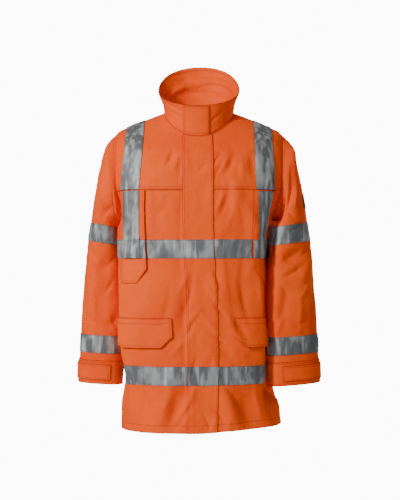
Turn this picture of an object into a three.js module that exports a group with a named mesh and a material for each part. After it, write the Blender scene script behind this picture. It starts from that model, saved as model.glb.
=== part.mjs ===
// A hip-length high-visibility work parka, filled out as if worn: a stand-up collar, a zip under a storm
// flap, yoked fronts, upright chest pocket flaps, hip pocket flaps, cuffs with tabs, and reflective tape
// round the chest, hem and sleeves and over the shoulders.
// X runs to the wearer's left, Y to the back and Z up, in millimetres. The origin lies midway between the
// two points where the shoulder lines meet the collar.
import * as THREE from "three";

// Cloth and gaps
const CLOTH = 1.8;
const FLAP_CLOTH = 2.4;
const COLLAR_CLOTH = 3;
const TAPE = 1;
const ZIP_TAPE = 1;
const SEAM = 0.3;

// Heights
const HEM = -870;
const HEM_TAPE = { low: -742, high: -692 };
const HIP_FLAP = { low: -642, high: -564, inner: 85, bevel: 28, bevelRun: 30, swell: 4 };
const CHEST_FLAP = { low: -470, inner: 145, outer: 222, bevel: 36, bevelRun: 30, swell: 2.5 };
const CHEST_TAPE = { low: -404, high: -354 };
const ARMPIT = -300;
const YOKE = -222;
const SHOULDER_TIP = -58;
const NECK = 0;

// Runs of the tape measure from the centre front
const FRONT_EDGE = 5;
const STORM_FLAP = { free: 42, sewn: 38, top: -12 };
const COLLAR_FLAP = { free: 40, sewn: 30, low: 0.03, high: 0.97 };
const ZIP = { half: 14, foot: 12 };
const BRACE = { inner: 150, outer: 200, splayRight: 10, splayLeft: 4, drawIn: 19, gap: 2.2, steps: 40,
  columns: 3 };

// The armhole's reach to the front and to the back of the side seam, in degrees, and its fullness
const ARMHOLE = { front: 19.5, back: 20.5, fullness: 0.8 };

const ORANGE = { color: 0xf2662b, roughness: 0.75, metalness: 0 };
const SILVER = { color: 0x8a8d8f, roughness: 0.4, metalness: 0.1 };
const BLACK = { color: 0x16171a, roughness: 0.8, metalness: 0 };

function table(columns, rows) {
  return rows.map((row) => Object.fromEntries(columns.map((name, i) => [name, row[i]])));
}

// Rings round the body from hem to neckline. side, front and back are the ring's heights there; right,
// left, chest and spine are its reach from the middle; square is the fullness of its corners; bow bends
// its height between side and centre; pressRight and pressLeft are how far the sleeves press it in;
// twist turns it about the vertical, in degrees; hitch raises it at the wearer's left.
const RING_COLUMNS = ["side", "front", "back", "right", "left", "chest", "spine", "square", "bow",
  "pressRight", "pressLeft", "twist", "hitch"];
const BODY = table(RING_COLUMNS, [
  [-870, -870, -870, 216, 228, 153, 132, 2.5, 1.6, 0, 0, 4.0, 11],
  [-805, -805, -805, 217, 222, 153, 130, 2.5, 1.6, 3, 6, 4.5, 6],
  [-765, -765, -765, 220, 219, 153, 129, 2.5, 1.6, 14, 35, 4.8, 2],
  [-737, -737, -737, 222, 217, 153, 128, 2.6, 1.6, 20, 37, 5.0, 0],
  [-640, -640, -640, 246, 216, 153, 126, 2.8, 1.6, 46, 40, 5.0, 0],
  [-560, -560, -560, 251, 217, 151, 124, 2.8, 1.6, 52, 40, 4.5, 0],
  [-450, -450, -450, 249, 220, 149, 122, 2.8, 1.6, 50, 36, 2.5, 0],
  [-351, -351, -351, 247, 234, 147, 121, 2.8, 1.6, 42, 44, 0.5, 0],
  [-300, -300, -300, 248, 244, 146, 121, 2.8, 1.6, 38, 42, 0, 0],
  [-255, -255, -255, 250, 248, 145, 121, 2.8, 1.6, 28, 24, 0, 0],
  [-206, -206, -206, 252, 252, 144, 121, 2.7, 1.6, 8, 6, 0, 0],
  [-130, -164, -118, 247, 247, 140, 118, 2.6, 1.6, 0, 0, 0, 0],
  [-58, -126, -48, 228, 228, 130, 110, 2.4, 1.6, 0, 0, 0, 0],
  [-30, -102, -19, 172, 172, 116, 99, 2.3, 1.6, 0, 0, -0.5, 0],
  [0, -72, 12, 97, 97, 96, 84, 2.2, 1.6, 0, 0, -1, 0],
]);

// Rings of the collar from neckline to rim.
const COLLAR = table(["up", ...RING_COLUMNS], [
  [0, 0, -72, 12, 97, 97, 96, 84, 2.2, 1.6, 0, 0, -1, 0],
  [0.35, 20, -45, 58, 99, 99, 98, 86, 2.2, 1.4, 0, 0, -1, 0],
  [0.7, 42, -18, 103, 106, 106, 103, 91, 2.2, 1.2, 0, 0, -1, 0],
  [1, 62, 7, 142, 114, 114, 109, 99, 2.2, 1.05, 0, 0, -1, 0],
]);

// Rings of a sleeve below the armhole. down is the place along it; in and out are the ring's points
// nearest to and furthest from the body; front and back are its reach there.
const SLEEVE = table(["down", "inX", "inZ", "outX", "outZ", "front", "back"], [
  [45, 218, -304, 258, -92, 85, 89],
  [95, 220, -307, 277, -165, 83, 88],
  [150, 220, -311, 292, -240, 78, 86],
  [205, 218, -320, 302, -306, 72, 82],
  [255, 214, -370, 310, -356, 66, 78],
  [345, 209, -459, 319, -446, 60, 72],
  [445, 205, -558, 326, -547, 55, 66],
  [508, 205, -621, 330, -614, 52, 62],
  [558, 206, -671, 333, -664, 49, 58],
  [590, 207, -703, 334, -696, 47, 55],
  [645, 210, -755, 336, -748, 44, 51],
]);
const SLEEVE_TAPES = { upper: [205, 255], lower: [508, 558] };
const CUFF = { top: 578, foot: 645, sleeveEnd: 588 };
const CUFF_TAB = { top: 588, foot: 632, first: 4, last: 15 };
const LABEL = { top: 139, foot: 170, start: 142, end: 192 };
// Where each sleeve hangs: how far it is set back, and how far its inner side is let out towards the body
// and swung to the front.
const HANG = {
  right: { setBack: 15, letOut: -6, swing: 0 },
  left: { setBack: 0, letOut: 20, swing: 48 },
};
const SLEEVE_SQUARE = 2.3;
const HANG_FROM = 45;
const HANG_FULL = 255;

// The largest folds. turn and level place the middle on the body, in degrees from the centre front and in
// millimetres; lean tips the fold from upright; height is negative for a trough.
const FOLD_COLUMNS = ["turn", "level", "lean", "length", "width", "height"];
const BODY_FOLDS = table(FOLD_COLUMNS, [
  [22, -150, 14, 130, 15, -5],
  [36, -230, 6, 190, 18, 4],
  [20, -520, 26, 200, 17, 5],
  [28, -560, 32, 190, 15, -5],
  [-20, -560, -20, 190, 18, -4],
  [-24, -800, -22, 190, 20, -6],
  [-40, -820, -8, 150, 24, 4],
  [24, -800, 24, 190, 20, 6],
  [40, -810, 18, 180, 22, -6],
  [68, -800, 4, 150, 16, -5],
  [132, -800, -10, 190, 24, -6],
  [-150, -780, 12, 220, 24, -6],
  [172, -760, 4, 240, 26, 5],
  [140, -240, -30, 190, 20, -4],
  [-140, -250, 28, 190, 20, -4],
  [-176, -140, 88, 220, 18, -4],
]);
const SLEEVE_FOLDS = {
  left: table(FOLD_COLUMNS, [
    [100, 90, 40, 120, 15, -6],
    [130, 62, 50, 130, 15, 5],
    [90, 292, 58, 100, 16, -6],
    [128, 330, 30, 150, 18, 4],
    [76, 420, 10, 190, 16, -4],
    [250, 300, -50, 130, 18, -5],
    [230, 440, -40, 110, 18, -4],
  ]),
  right: table(FOLD_COLUMNS, [
    [70, 110, -26, 120, 14, -5],
    [74, 310, -50, 120, 16, -5],
    [60, 470, -60, 80, 14, -4],
    [110, 380, -12, 190, 20, 4],
    [250, 300, 50, 130, 18, -5],
    [230, 430, 40, 110, 18, -4],
  ]),
};
const MM_PER_DEGREE = { body: 3.2, sleeve: 1.15 };

const radians = THREE.MathUtils.degToRad;
const smoothstep = THREE.MathUtils.smoothstep;
const lerp = THREE.MathUtils.lerp;
const SIDES = { right: -1, left: 1 };

// A smooth curve through the points (xs, ys) that never overshoots them.
function curve(xs, ys) {
  const last = xs.length - 1;
  const slope = xs.slice(1).map((x, i) => (ys[i + 1] - ys[i]) / (x - xs[i]));
  const tangent = xs.map((_, i) => {
    if (i === 0) return slope[0];
    if (i === last) return slope[last - 1];
    if (slope[i - 1] * slope[i] <= 0) return 0;
    const before = xs[i] - xs[i - 1];
    const after = xs[i + 1] - xs[i];
    const total = 3 * (before + after);
    return total / ((2 * after + before) / slope[i - 1] + (after + 2 * before) / slope[i]);
  });
  return (x) => {
    let i = 0;
    while (i < last - 1 && x > xs[i + 1]) i += 1;
    const step = xs[i + 1] - xs[i];
    const t = (x - xs[i]) / step;
    const ease = t * t * (3 - 2 * t);
    const lead = t * (1 - t) * (1 - t) * tangent[i];
    const trail = t * t * (t - 1) * tangent[i + 1];
    return ys[i] + (ys[i + 1] - ys[i]) * ease + step * (lead + trail);
  };
}

// The rows of a table as one smooth row between them.
function blended(rows, key) {
  const columns = Object.keys(rows[0]);
  const places = rows.map((row) => row[key]);
  const curves = columns.map((name) => curve(places, rows.map((row) => row[name])));
  return (at) => Object.fromEntries(columns.map((name, i) => [name, curves[i](at)]));
}

// How far the folds raise the cloth at a place.
function foldHeight(folds, turn, level, mmPerDegree) {
  let height = 0;
  for (const fold of folds) {
    const around = (turn - fold.turn) * mmPerDegree;
    const up = level - fold.level;
    const lean = radians(fold.lean);
    const along = up * Math.cos(lean) - around * Math.sin(lean);
    const across = up * Math.sin(lean) + around * Math.cos(lean);
    const reach = Math.min(1, Math.abs(along) / (fold.length / 2));
    height += fold.height * Math.exp(-((across / fold.width) ** 2)) * (1 - reach * reach) ** 2;
  }
  return height;
}

// How strongly a sleeve presses on a ring at an angle from the centre front. Each presses at one place
// up to the armpit and at another lower down.
const PRESS = {
  right: { high: { middle: 94, flat: 19, level: -285 }, low: { middle: 97, flat: 16.5, level: -330 } },
  left: { high: { middle: 88, flat: 18, level: -285 }, low: { middle: 77, flat: 9, level: -375 } },
  ramp: 15,
};
function pressAt(turn, level) {
  const { high, low } = PRESS[turn < 0 ? "right" : "left"];
  const share = smoothstep(level, low.level, high.level);
  const off = Math.abs(Math.abs(turn) - lerp(low.middle, high.middle, share));
  const flat = lerp(low.flat, high.flat, share);
  return 1 - smoothstep(off, flat, flat + PRESS.ramp);
}

// A point of a ring at an angle from the centre front, positive towards the wearer's left.
function ringPoint(ring, turn) {
  const angle = radians(turn);
  const facesFront = Math.abs(turn) <= 90;
  const width = turn < 0 ? ring.right : ring.left;
  const depth = facesFront ? ring.chest : ring.spine;
  const press = (turn < 0 ? ring.pressRight : ring.pressLeft) * pressAt(turn, ring.side);
  const squared = (Math.abs(Math.cos(angle)) / depth) ** ring.square
    + (Math.abs(Math.sin(angle)) / width) ** ring.square;
  const reach = squared ** (-1 / ring.square) - press;
  const y = -reach * Math.cos(angle);
  const centre = facesFront ? ring.front : ring.back;
  const z = ring.side + (centre - ring.side) * (Math.abs(y) / depth) ** ring.bow
    + ring.hitch * Math.max(0, Math.sin(angle));
  const point = new THREE.Vector3(reach * Math.sin(angle), y, z);
  return point.applyAxisAngle(new THREE.Vector3(0, 0, 1), radians(ring.twist));
}

// A point of a form with its outward normal. at(u, v) gives the bare form and raise(u, v) its folds.
const NUDGE = 0.4;
function spotOn(at, raise, u, v, vLow, vHigh) {
  const folded = (a, b) => {
    const low = Math.max(b - NUDGE, vLow);
    const high = Math.min(b + NUDGE, vHigh);
    const across = at(a + NUDGE, b).sub(at(a - NUDGE, b));
    const upward = at(a, high).sub(at(a, low));
    return at(a, b).addScaledVector(across.cross(upward).normalize(), raise(a, b));
  };
  const low = Math.max(v - NUDGE, vLow);
  const high = Math.min(v + NUDGE, vHigh);
  const across = folded(u + NUDGE, v).sub(folded(u - NUDGE, v));
  const upward = folded(u, high).sub(folded(u, low));
  return { point: folded(u, v), normal: across.clone().cross(upward).normalize() };
}

const bodyRing = blended(BODY, "side");
const collarRing = blended(COLLAR, "up");

// No fold crosses the neckline, where the collar holds the cloth round.
const fadeAtNeck = (level) => 1 - smoothstep(level, -75, -20);
const wrapped = (turn) => ((((turn + 180) % 360) + 360) % 360) - 180;

function bodySpot(turn, level) {
  const at = (a, b) => ringPoint(bodyRing(b), wrapped(a));
  const raise = (a, b) => {
    const near = wrapped(a);
    const height = foldHeight(BODY_FOLDS, near, b, MM_PER_DEGREE.body)
      + foldHeight(BODY_FOLDS, near - 360 * Math.sign(near), b, MM_PER_DEGREE.body);
    return height * fadeAtNeck(b);
  };
  return spotOn(at, raise, turn, level, HEM, NECK);
}

function collarSpot(turn, up) {
  const at = (a, b) => ringPoint(collarRing(b / 100), wrapped(a));
  return spotOn(at, () => 0, turn, up * 100, 0, 100);
}

// The angle at which a tape measure laid round a ring from the centre front reads run.
const MEASURE_STEP = 1.5;
function turnAt(ring, run) {
  const side = Math.sign(run) || 1;
  let last = ringPoint(ring, 0);
  let read = 0;
  for (let turn = MEASURE_STEP; turn <= 180; turn += MEASURE_STEP) {
    const next = ringPoint(ring, side * turn);
    const gone = next.distanceTo(last);
    if (read + gone >= Math.abs(run)) {
      return side * (turn - MEASURE_STEP + (MEASURE_STEP * (Math.abs(run) - read)) / gone);
    }
    read += gone;
    last = next;
  }
  return side * 180;
}
const bodyTurn = (level, run) => turnAt(bodyRing(level), run);

// A closed wall between two sheets of points, which are lists of rows. A ringed wall closes on itself.
function wall(outer, inner, ringed = false) {
  const rows = outer.length;
  const columns = outer[0].length;
  const positions = [...outer.flat(), ...inner.flat()].flatMap((p) => [p.x, p.y, p.z]);
  const inside = rows * columns;
  const index = [];
  const quad = (a, b, c, d) => index.push(a, b, c, a, c, d);
  const spans = ringed ? columns : columns - 1;
  const place = (row, column) => row * columns + (column % columns);
  for (let row = 0; row < rows - 1; row += 1) {
    for (let column = 0; column < spans; column += 1) {
      const a = place(row, column);
      const b = place(row, column + 1);
      const c = place(row + 1, column + 1);
      const d = place(row + 1, column);
      quad(a, b, c, d);
      quad(inside + a, inside + d, inside + c, inside + b);
    }
  }
  for (let column = 0; column < spans; column += 1) {
    const foot = [place(0, column), place(0, column + 1)];
    const head = [place(rows - 1, column), place(rows - 1, column + 1)];
    quad(foot[1], foot[0], inside + foot[0], inside + foot[1]);
    quad(head[0], head[1], inside + head[1], inside + head[0]);
  }
  if (!ringed) {
    for (let row = 0; row < rows - 1; row += 1) {
      const start = [place(row, 0), place(row + 1, 0)];
      const end = [place(row, columns - 1), place(row + 1, columns - 1)];
      quad(start[0], start[1], inside + start[1], inside + start[0]);
      quad(end[1], end[0], inside + end[0], inside + end[1]);
    }
  }
  const geometry = new THREE.BufferGeometry();
  geometry.setAttribute("position", new THREE.Float32BufferAttribute(positions, 3));
  geometry.setIndex(signedVolume(positions, index) < 0 ? index.reverse() : index);
  geometry.computeVertexNormals();
  return geometry;
}

function signedVolume(positions, index) {
  const corner = (i) => new THREE.Vector3().fromArray(positions, 3 * index[i]);
  let volume = 0;
  for (let i = 0; i < index.length; i += 3) {
    volume += corner(i).dot(corner(i + 1).cross(corner(i + 2))) / 6;
  }
  return volume;
}

const jacket = new THREE.Group();

// Adds a piece of cloth. grid holds rows of spots; lift(spot) is how far its outer face stands off them.
function addPiece(name, look, grid, thickness, lift = () => 0, ringed = false) {
  const moved = (drop) => grid.map((row) => row.map((spot) => spot.point.clone()
    .addScaledVector(spot.normal, lift(spot) + (spot.rise ?? 0) - drop)));
  const mesh = new THREE.Mesh(wall(moved(0), moved(thickness), ringed), new THREE.MeshStandardMaterial(look));
  mesh.name = name;
  jacket.add(mesh);
}

// Rows of spots on the body: turns(level) lists the angles of a row, which runs to the wearer's left.
function bodyGrid(levels, turns, spotAt) {
  return levels.map((level) => turns(level).sort((a, b) => a - b)
    .map((turn) => ({ ...spotAt(turn, level), turn, level })));
}

// The panels of the body by name, each a grid of spots that its flat facets join.
const panels = new Map();

function addPanel(name, levels, turns) {
  panels.set(name, bodyGrid(levels, turns, bodySpot));
  addPiece(name, ORANGE, panels.get(name), CLOTH);
}

// The spot of a panel's facets at an angle and level.
function facetSpot(grid, turn, level) {
  const share = (value, from, to) => THREE.MathUtils.clamp((value - from) / (to - from), 0, 1);
  let row = 0;
  while (row < grid.length - 2 && grid[row + 1][0].level < level) row += 1;
  const [lower, upper] = [grid[row], grid[row + 1]];
  const up = share(level, lower[0].level, upper[0].level);
  const turnOf = (column) => lerp(lower[column].turn, upper[column].turn, up);
  let column = 0;
  while (column < lower.length - 2 && turnOf(column + 1) < turn) column += 1;
  const along = share(turn, turnOf(column), turnOf(column + 1));
  const [a, b, c, d] = [lower[column], lower[column + 1], upper[column + 1], upper[column]];
  const weights = along > up ? [1 - along, along - up, up, 0] : [1 - up, 0, along, up - along];
  const mixed = (key) => [a, b, c, d].reduce((sum, spot, i) => sum.addScaledVector(spot[key], weights[i]),
    new THREE.Vector3());
  return { point: mixed("point"), normal: mixed("normal").normalize() };
}

// The spot of the body's cloth at an angle and level, on whichever panel is there.
function clothSpot(turn, level) {
  const near = wrapped(turn);
  const onBack = Math.abs(near) > 90;
  const front = `${level < YOKE ? "front" : "yoke"}_${near < 0 ? "right" : "left"}`;
  const panel = panels.get(onBack ? "back" : front);
  return { ...facetSpot(panel, onBack && near < 0 ? near + 360 : near, level), turn, level };
}

// Gives each spot of a trim the rise that keeps it clear of the ridges between the facets under it.
const RIDGE_CHECKS = [0.2, 0.4, 0.6, 0.8];
function overRidges(grid) {
  grid.flat().forEach((spot) => Object.assign(spot, { rise: 0 }));
  const check = (from, to) => {
    for (const share of RIDGE_CHECKS) {
      const under = clothSpot(lerp(from.turn, to.turn, share), lerp(from.level, to.level, share));
      const sunk = under.point.sub(from.point.clone().lerp(to.point, share)).dot(under.normal);
      from.rise = Math.max(from.rise, sunk);
      to.rise = Math.max(to.rise, sunk);
    }
  };
  grid.forEach((row, i) => row.forEach((spot, j) => {
    if (j + 1 < row.length) check(spot, row[j + 1]);
    if (i + 1 < grid.length) check(spot, grid[i + 1][j]);
    if (i + 1 < grid.length && j + 1 < row.length) check(spot, grid[i + 1][j + 1]);
  }));
  return grid;
}
const clothGrid = (levels, turns) => overRidges(bodyGrid(levels, turns, clothSpot));

function stepsBetween(from, to, count) {
  return Array.from({ length: count + 1 }, (_, i) => lerp(from, to, i / count));
}
const halfSeamTurn = (level) => {
  const ring = bodyRing(level);
  return THREE.MathUtils.radToDeg(SEAM / (ring.left - ring.pressLeft));
};

// How far the armhole's edge stands from the side seam at a level, as a share of its full reach.
function armholeShare(level) {
  const middle = (ARMPIT + SHOULDER_TIP) / 2;
  const half = (SHOULDER_TIP - ARMPIT) / 2;
  const height = Math.min(1, Math.abs(level - middle) / half);
  return Math.sqrt(1 - height * height) ** ARMHOLE.fullness;
}
const frontEdgeTurn = (level) => 90 - halfSeamTurn(level) - ARMHOLE.front * armholeShare(level);
const backEdgeTurn = (level) => 90 + halfSeamTurn(level) + ARMHOLE.back * armholeShare(level);

// The armhole has one row of the body's cloth for each line of the sleeve.
const SLEEVE_COLUMNS = 22;
const armholeLevel = (turn) => lerp(ARMPIT, SHOULDER_TIP, (1 - Math.cos(radians(turn))) / 2);
const ARMHOLE_LEVELS = stepsBetween(0, 180, SLEEVE_COLUMNS / 2).map(armholeLevel);
const ARMHOLE_LOWER = ARMHOLE_LEVELS.filter((level) => level < YOKE);
const ARMHOLE_UPPER = ARMHOLE_LEVELS.filter((level) => level > YOKE);
const SHOULDER = [-42, -24, -10, 0];

// Fronts below the yoke, on columns that follow the flaps and tapes.
const HIP_FLAP_MIDDLE = (HIP_FLAP.low + HIP_FLAP.high) / 2;
const FRONT_LEVELS = [HEM, -825, -780, HEM_TAPE.low, HEM_TAPE.high, HIP_FLAP.low, HIP_FLAP_MIDDLE,
  HIP_FLAP.high, -517, CHEST_FLAP.low, CHEST_TAPE.low, CHEST_TAPE.high, ...ARMHOLE_LOWER,
  YOKE - SEAM / 2];
const FRONT_RUNS = [FRONT_EDGE, 22, STORM_FLAP.free, 62, HIP_FLAP.inner, 115, CHEST_FLAP.inner, 160, 175, 190,
  208, CHEST_FLAP.outer];
const HIP_COLUMNS = { first: FRONT_RUNS.indexOf(HIP_FLAP.inner), last: FRONT_RUNS.length };
function frontTurns(level, side) {
  const fixed = FRONT_RUNS.map((run) => bodyTurn(level, side * run));
  const last = fixed[fixed.length - 1];
  return [...fixed, ...stepsBetween(last, side * frontEdgeTurn(level), 3).slice(1)];
}

const YOKE_LEVELS = [YOKE + SEAM / 2, ...ARMHOLE_UPPER, ...SHOULDER];
const YOKE_COLUMNS = 7;
function yokeTurns(level, side) {
  const fixed = FRONT_RUNS.slice(0, 3).map((run) => bodyTurn(level, side * run));
  return [...fixed, ...stepsBetween(fixed[2], side * frontEdgeTurn(level), YOKE_COLUMNS).slice(1)];
}

const BACK_LEVELS = [HEM, -825, -780, HEM_TAPE.low, HEM_TAPE.high, -630, -573, -516, -459, CHEST_TAPE.low,
  CHEST_TAPE.high, ...ARMHOLE_LOWER, YOKE, ...ARMHOLE_UPPER, ...SHOULDER];
const BACK_COLUMNS = 18;
function backTurns(level) {
  return stepsBetween(backEdgeTurn(level), 360 - backEdgeTurn(level), BACK_COLUMNS);
}

// Rows of spots on a front, down to a lower edge that may differ from column to column.
function flapGrid(levels, columns, lowEdge) {
  return overRidges([null, ...levels].map((level) => columns.map((column) => {
    const height = level ?? lowEdge(column);
    return { ...clothSpot(column.turnAt(height), height), run: column.run };
  }).sort((a, b) => a.turn - b.turn)));
}

function addFronts(name, side) {
  addPanel(`front_${name}`, FRONT_LEVELS, (level) => frontTurns(level, side));
  addPanel(`yoke_${name}`, YOKE_LEVELS, (level) => yokeTurns(level, side));
}

// Chest flaps open at their inner edge, and hip flaps at their foot.
const CHEST_FLAP_FACE = SEAM + FLAP_CLOTH;
const chestSwell = (run) => CHEST_FLAP.swell * (1 - smoothstep(run, CHEST_FLAP.inner, CHEST_FLAP.inner + 30));
const chestFlapLift = (spot) => CHEST_FLAP_FACE + chestSwell(spot.run);
const CHEST_FLAP_RUNS = FRONT_RUNS.slice(FRONT_RUNS.indexOf(CHEST_FLAP.inner));
const CHEST_FLAP_LEVELS = [
  ...FRONT_LEVELS.filter((level) => level >= CHEST_TAPE.low && level < YOKE - 3),
  YOKE - 2,
];
function addChestFlap(name, side) {
  const columns = CHEST_FLAP_RUNS.map((run) => ({ run, turnAt: (level) => bodyTurn(level, side * run) }));
  const lowEdge = ({ run }) => CHEST_FLAP.low
    + CHEST_FLAP.bevel * Math.max(0, 1 - (run - CHEST_FLAP.inner) / CHEST_FLAP.bevelRun);
  addPiece(`chest_flap_${name}`, ORANGE, flapGrid(CHEST_FLAP_LEVELS, columns, lowEdge), FLAP_CLOTH,
    chestFlapLift);
}

const HIP_FLAP_FACE = 3 * SEAM + FLAP_CLOTH;
function addHipFlap(name, side) {
  const { first, last } = HIP_COLUMNS;
  const columns = stepsBetween(first, last, last - first).map((column) => ({
    column, run: FRONT_RUNS[column], turnAt: (level) => frontTurns(level, side)[column] }));
  const lowEdge = ({ column, run }) => {
    const inner = Math.max(0, 1 - (run - HIP_FLAP.inner) / HIP_FLAP.bevelRun) || 0;
    return HIP_FLAP.low + HIP_FLAP.bevel * (column === last ? 0.6 : inner);
  };
  const levels = [HIP_FLAP_MIDDLE, HIP_FLAP.high];
  const lift = (spot) => HIP_FLAP_FACE
    + HIP_FLAP.swell * (1 - smoothstep(spot.level, HIP_FLAP.low, HIP_FLAP.high));
  addPiece(`hip_flap_${name}`, ORANGE, flapGrid(levels, columns, lowEdge), FLAP_CLOTH, lift);
}

// The storm flap is sewn to the wearer's left front and laps over the zip to the right one.
const STORM_FLAP_FACE = SEAM + FLAP_CLOTH;
const STORM_RUNS = [-STORM_FLAP.free, -22, -FRONT_EDGE, FRONT_EDGE, 22, STORM_FLAP.sewn];
const runTurns = (runs) => (level) => runs.map((run) => bodyTurn(level, run));
function addStormFlap() {
  const levels = [...FRONT_LEVELS, ...YOKE_LEVELS.slice(1, -2), STORM_FLAP.top];
  addPiece("storm_flap", ORANGE, clothGrid(levels, runTurns(STORM_RUNS)), FLAP_CLOTH, () => STORM_FLAP_FACE);
}

const COLLAR_COLUMNS = 26;
const COLLAR_RISE = [0, 0.12, 0.3, 0.5, 0.7, 0.87, 1];
const COLLAR_RUNS = [1, 16, COLLAR_FLAP.sewn, COLLAR_FLAP.free];
// The first row lies along the neckline, a seam's gap above the body's edge.
function neckSpot(turn) {
  const spot = bodySpot(turn, NECK);
  const along = bodySpot(turn + NUDGE, NECK).point.sub(bodySpot(turn - NUDGE, NECK).point).normalize();
  const beyond = spot.normal.clone().cross(along);
  return { point: spot.point.addScaledVector(beyond, 3 * SEAM), normal: spot.normal };
}
function addCollar() {
  const turns = (up) => {
    const left = COLLAR_RUNS.map((run) => turnAt(collarRing(up), run));
    const right = COLLAR_RUNS.map((run) => 360 + turnAt(collarRing(up), -run)).reverse();
    return [...left, ...stepsBetween(left[3], right[0], COLLAR_COLUMNS).slice(1, -1), ...right];
  };
  const spotAt = (turn, up) => (up === 0 ? neckSpot(turn) : collarSpot(turn, up));
  const grid = COLLAR_RISE.map((up) => turns(up).map((turn) => spotAt(turn, up)));
  addPiece("collar", ORANGE, grid, COLLAR_CLOTH);
}

function addCollarFlap() {
  const runs = [-COLLAR_FLAP.free, -COLLAR_FLAP.sewn, -16, -1, 1, 16, COLLAR_FLAP.sewn];
  const grid = [COLLAR_FLAP.low, ...COLLAR_RISE.slice(1, -1), COLLAR_FLAP.high]
    .map((up) => runs.map((run) => collarSpot(turnAt(collarRing(up), run), up)));
  addPiece("collar_flap", ORANGE, grid, FLAP_CLOTH, () => SEAM + FLAP_CLOTH);
}

// A closed zip behind the front edges, up to the top of the collar.
function addZip() {
  const runs = [-ZIP.half, ZIP.half];
  const levels = [HEM + ZIP.foot, ...FRONT_LEVELS.slice(1), ...YOKE_LEVELS.slice(1, -1), -3];
  const rows = [
    ...clothGrid(levels, runTurns(runs)).map((row) => ({ row, drop: CLOTH + 3 * SEAM })),
    ...COLLAR_RISE.slice(1, -1).map((up) => ({
      row: runs.map((run) => collarSpot(turnAt(collarRing(up), run), up)), drop: COLLAR_CLOTH + 2 * SEAM })),
  ];
  const atNeck = levels.length - 1;
  rows[atNeck].drop += 4.5;
  const grid = rows.map(({ row, drop }) => row.map((spot) => ({ ...spot, drop })));
  addPiece("zip", ORANGE, grid, ZIP_TAPE, (spot) => -spot.drop);
}

// Where each sleeve's ring meets the armhole: turn runs from the armpit by the front over the top.
function armholeSpot(side, turn) {
  const angle = radians(turn);
  const level = armholeLevel(turn);
  const swing = Math.abs(Math.sin(angle)) ** ARMHOLE.fullness;
  const away = Math.sin(angle) >= 0 ? -ARMHOLE.front * swing : ARMHOLE.back * swing;
  return bodySpot(side * (90 + away), level);
}

function sleeveStart(side, turn) {
  const spot = armholeSpot(side, turn);
  const along = armholeSpot(side, turn + 2).point.sub(armholeSpot(side, turn - 2).point).normalize();
  const beyond = spot.normal.clone().cross(along).multiplyScalar(side);
  const outwards = new THREE.Vector3(side, 0, 0);
  if (beyond.dot(outwards) < 0) beyond.negate();
  return { point: spot.point.addScaledVector(beyond, SEAM), normal: spot.normal };
}

const spread = (value) => Math.sign(value) * Math.abs(value) ** (2 / SLEEVE_SQUARE);
function sleeveRingPoint(row, side, turn) {
  const hang = side < 0 ? HANG.right : HANG.left;
  const share = smoothstep(row.down, HANG_FROM, HANG_FULL);
  const angle = radians(turn);
  const outward = (1 - spread(Math.cos(angle))) / 2;
  const inX = row.inX - hang.letOut * share;
  const y = Math.sin(angle) >= 0 ? -row.front * spread(Math.sin(angle)) : -row.back * spread(Math.sin(angle));
  const swungBack = (hang.setBack - hang.swing * (1 - outward)) * share;
  return new THREE.Vector3(side * lerp(inX, row.outX, outward), y + swungBack,
    lerp(row.inZ, row.outZ, outward));
}

// The line that runs down a sleeve at one turn, from the armhole through the rings.
const sleeveLines = new Map();
function sleeveLine(side, turn) {
  const key = `${side} ${turn.toFixed(3)}`;
  if (!sleeveLines.has(key)) {
    const points = [sleeveStart(side, turn).point, ...SLEEVE.map((row) => sleeveRingPoint(row, side, turn))];
    const downs = [0, ...SLEEVE.map((row) => row.down)];
    const parts = ["x", "y", "z"].map((axis) => curve(downs, points.map((point) => point[axis])));
    sleeveLines.set(key, (down) => new THREE.Vector3(...parts.map((part) => part(down))));
  }
  return sleeveLines.get(key);
}

function sleeveSpot(side, turn, down) {
  const folds = side < 0 ? SLEEVE_FOLDS.right : SLEEVE_FOLDS.left;
  const at = (a, b) => sleeveLine(side, a)(b);
  const fade = (b) => smoothstep(b, 8, 60);
  const raise = (a, b) => -side * fade(b) * foldHeight(folds, a, b, MM_PER_DEGREE.sleeve);
  const spot = spotOn(at, raise, turn, down, 0.1, CUFF.foot);
  spot.normal.multiplyScalar(-side);
  return spot;
}

const SLEEVE_DOWNS = [0, 12, 32, 60, 95, 130, 168, ...SLEEVE_TAPES.upper, 292, 330, 372, 418, 464,
  ...SLEEVE_TAPES.lower, CUFF.sleeveEnd];
const roundTurns = stepsBetween(0, 360, SLEEVE_COLUMNS).slice(0, -1);

function sleeveGrid(side, downs, turns) {
  return downs.map((down) => turns.map((turn) => (down === 0 ? sleeveStart(side, turn)
    : sleeveSpot(side, turn, down))));
}

const TAPE_FACE = SEAM + TAPE;
const CUFF_FACE = SEAM + FLAP_CLOTH;
function addSleeve(name, side) {
  addPiece(`sleeve_${name}`, ORANGE, sleeveGrid(side, SLEEVE_DOWNS, roundTurns), CLOTH, () => 0, true);
  for (const [place, [top, foot]] of Object.entries(SLEEVE_TAPES)) {
    addPiece(`sleeve_tape_${place}_${name}`, SILVER, sleeveGrid(side, [top, foot], roundTurns), TAPE,
      () => TAPE_FACE, true);
  }
  const cuffDowns = [CUFF.top, CUFF.sleeveEnd, CUFF.foot];
  addPiece(`cuff_${name}`, ORANGE, sleeveGrid(side, cuffDowns, roundTurns), FLAP_CLOTH,
    () => CUFF_FACE, true);
  const tabTurns = roundTurns.slice(CUFF_TAB.first, CUFF_TAB.last + 1);
  addPiece(`cuff_tab_${name}`, ORANGE, sleeveGrid(side, [CUFF_TAB.top, CUFF_TAB.foot], tabTurns), FLAP_CLOTH,
    () => CUFF_FACE + 2 * SEAM + FLAP_CLOTH);
}

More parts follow.
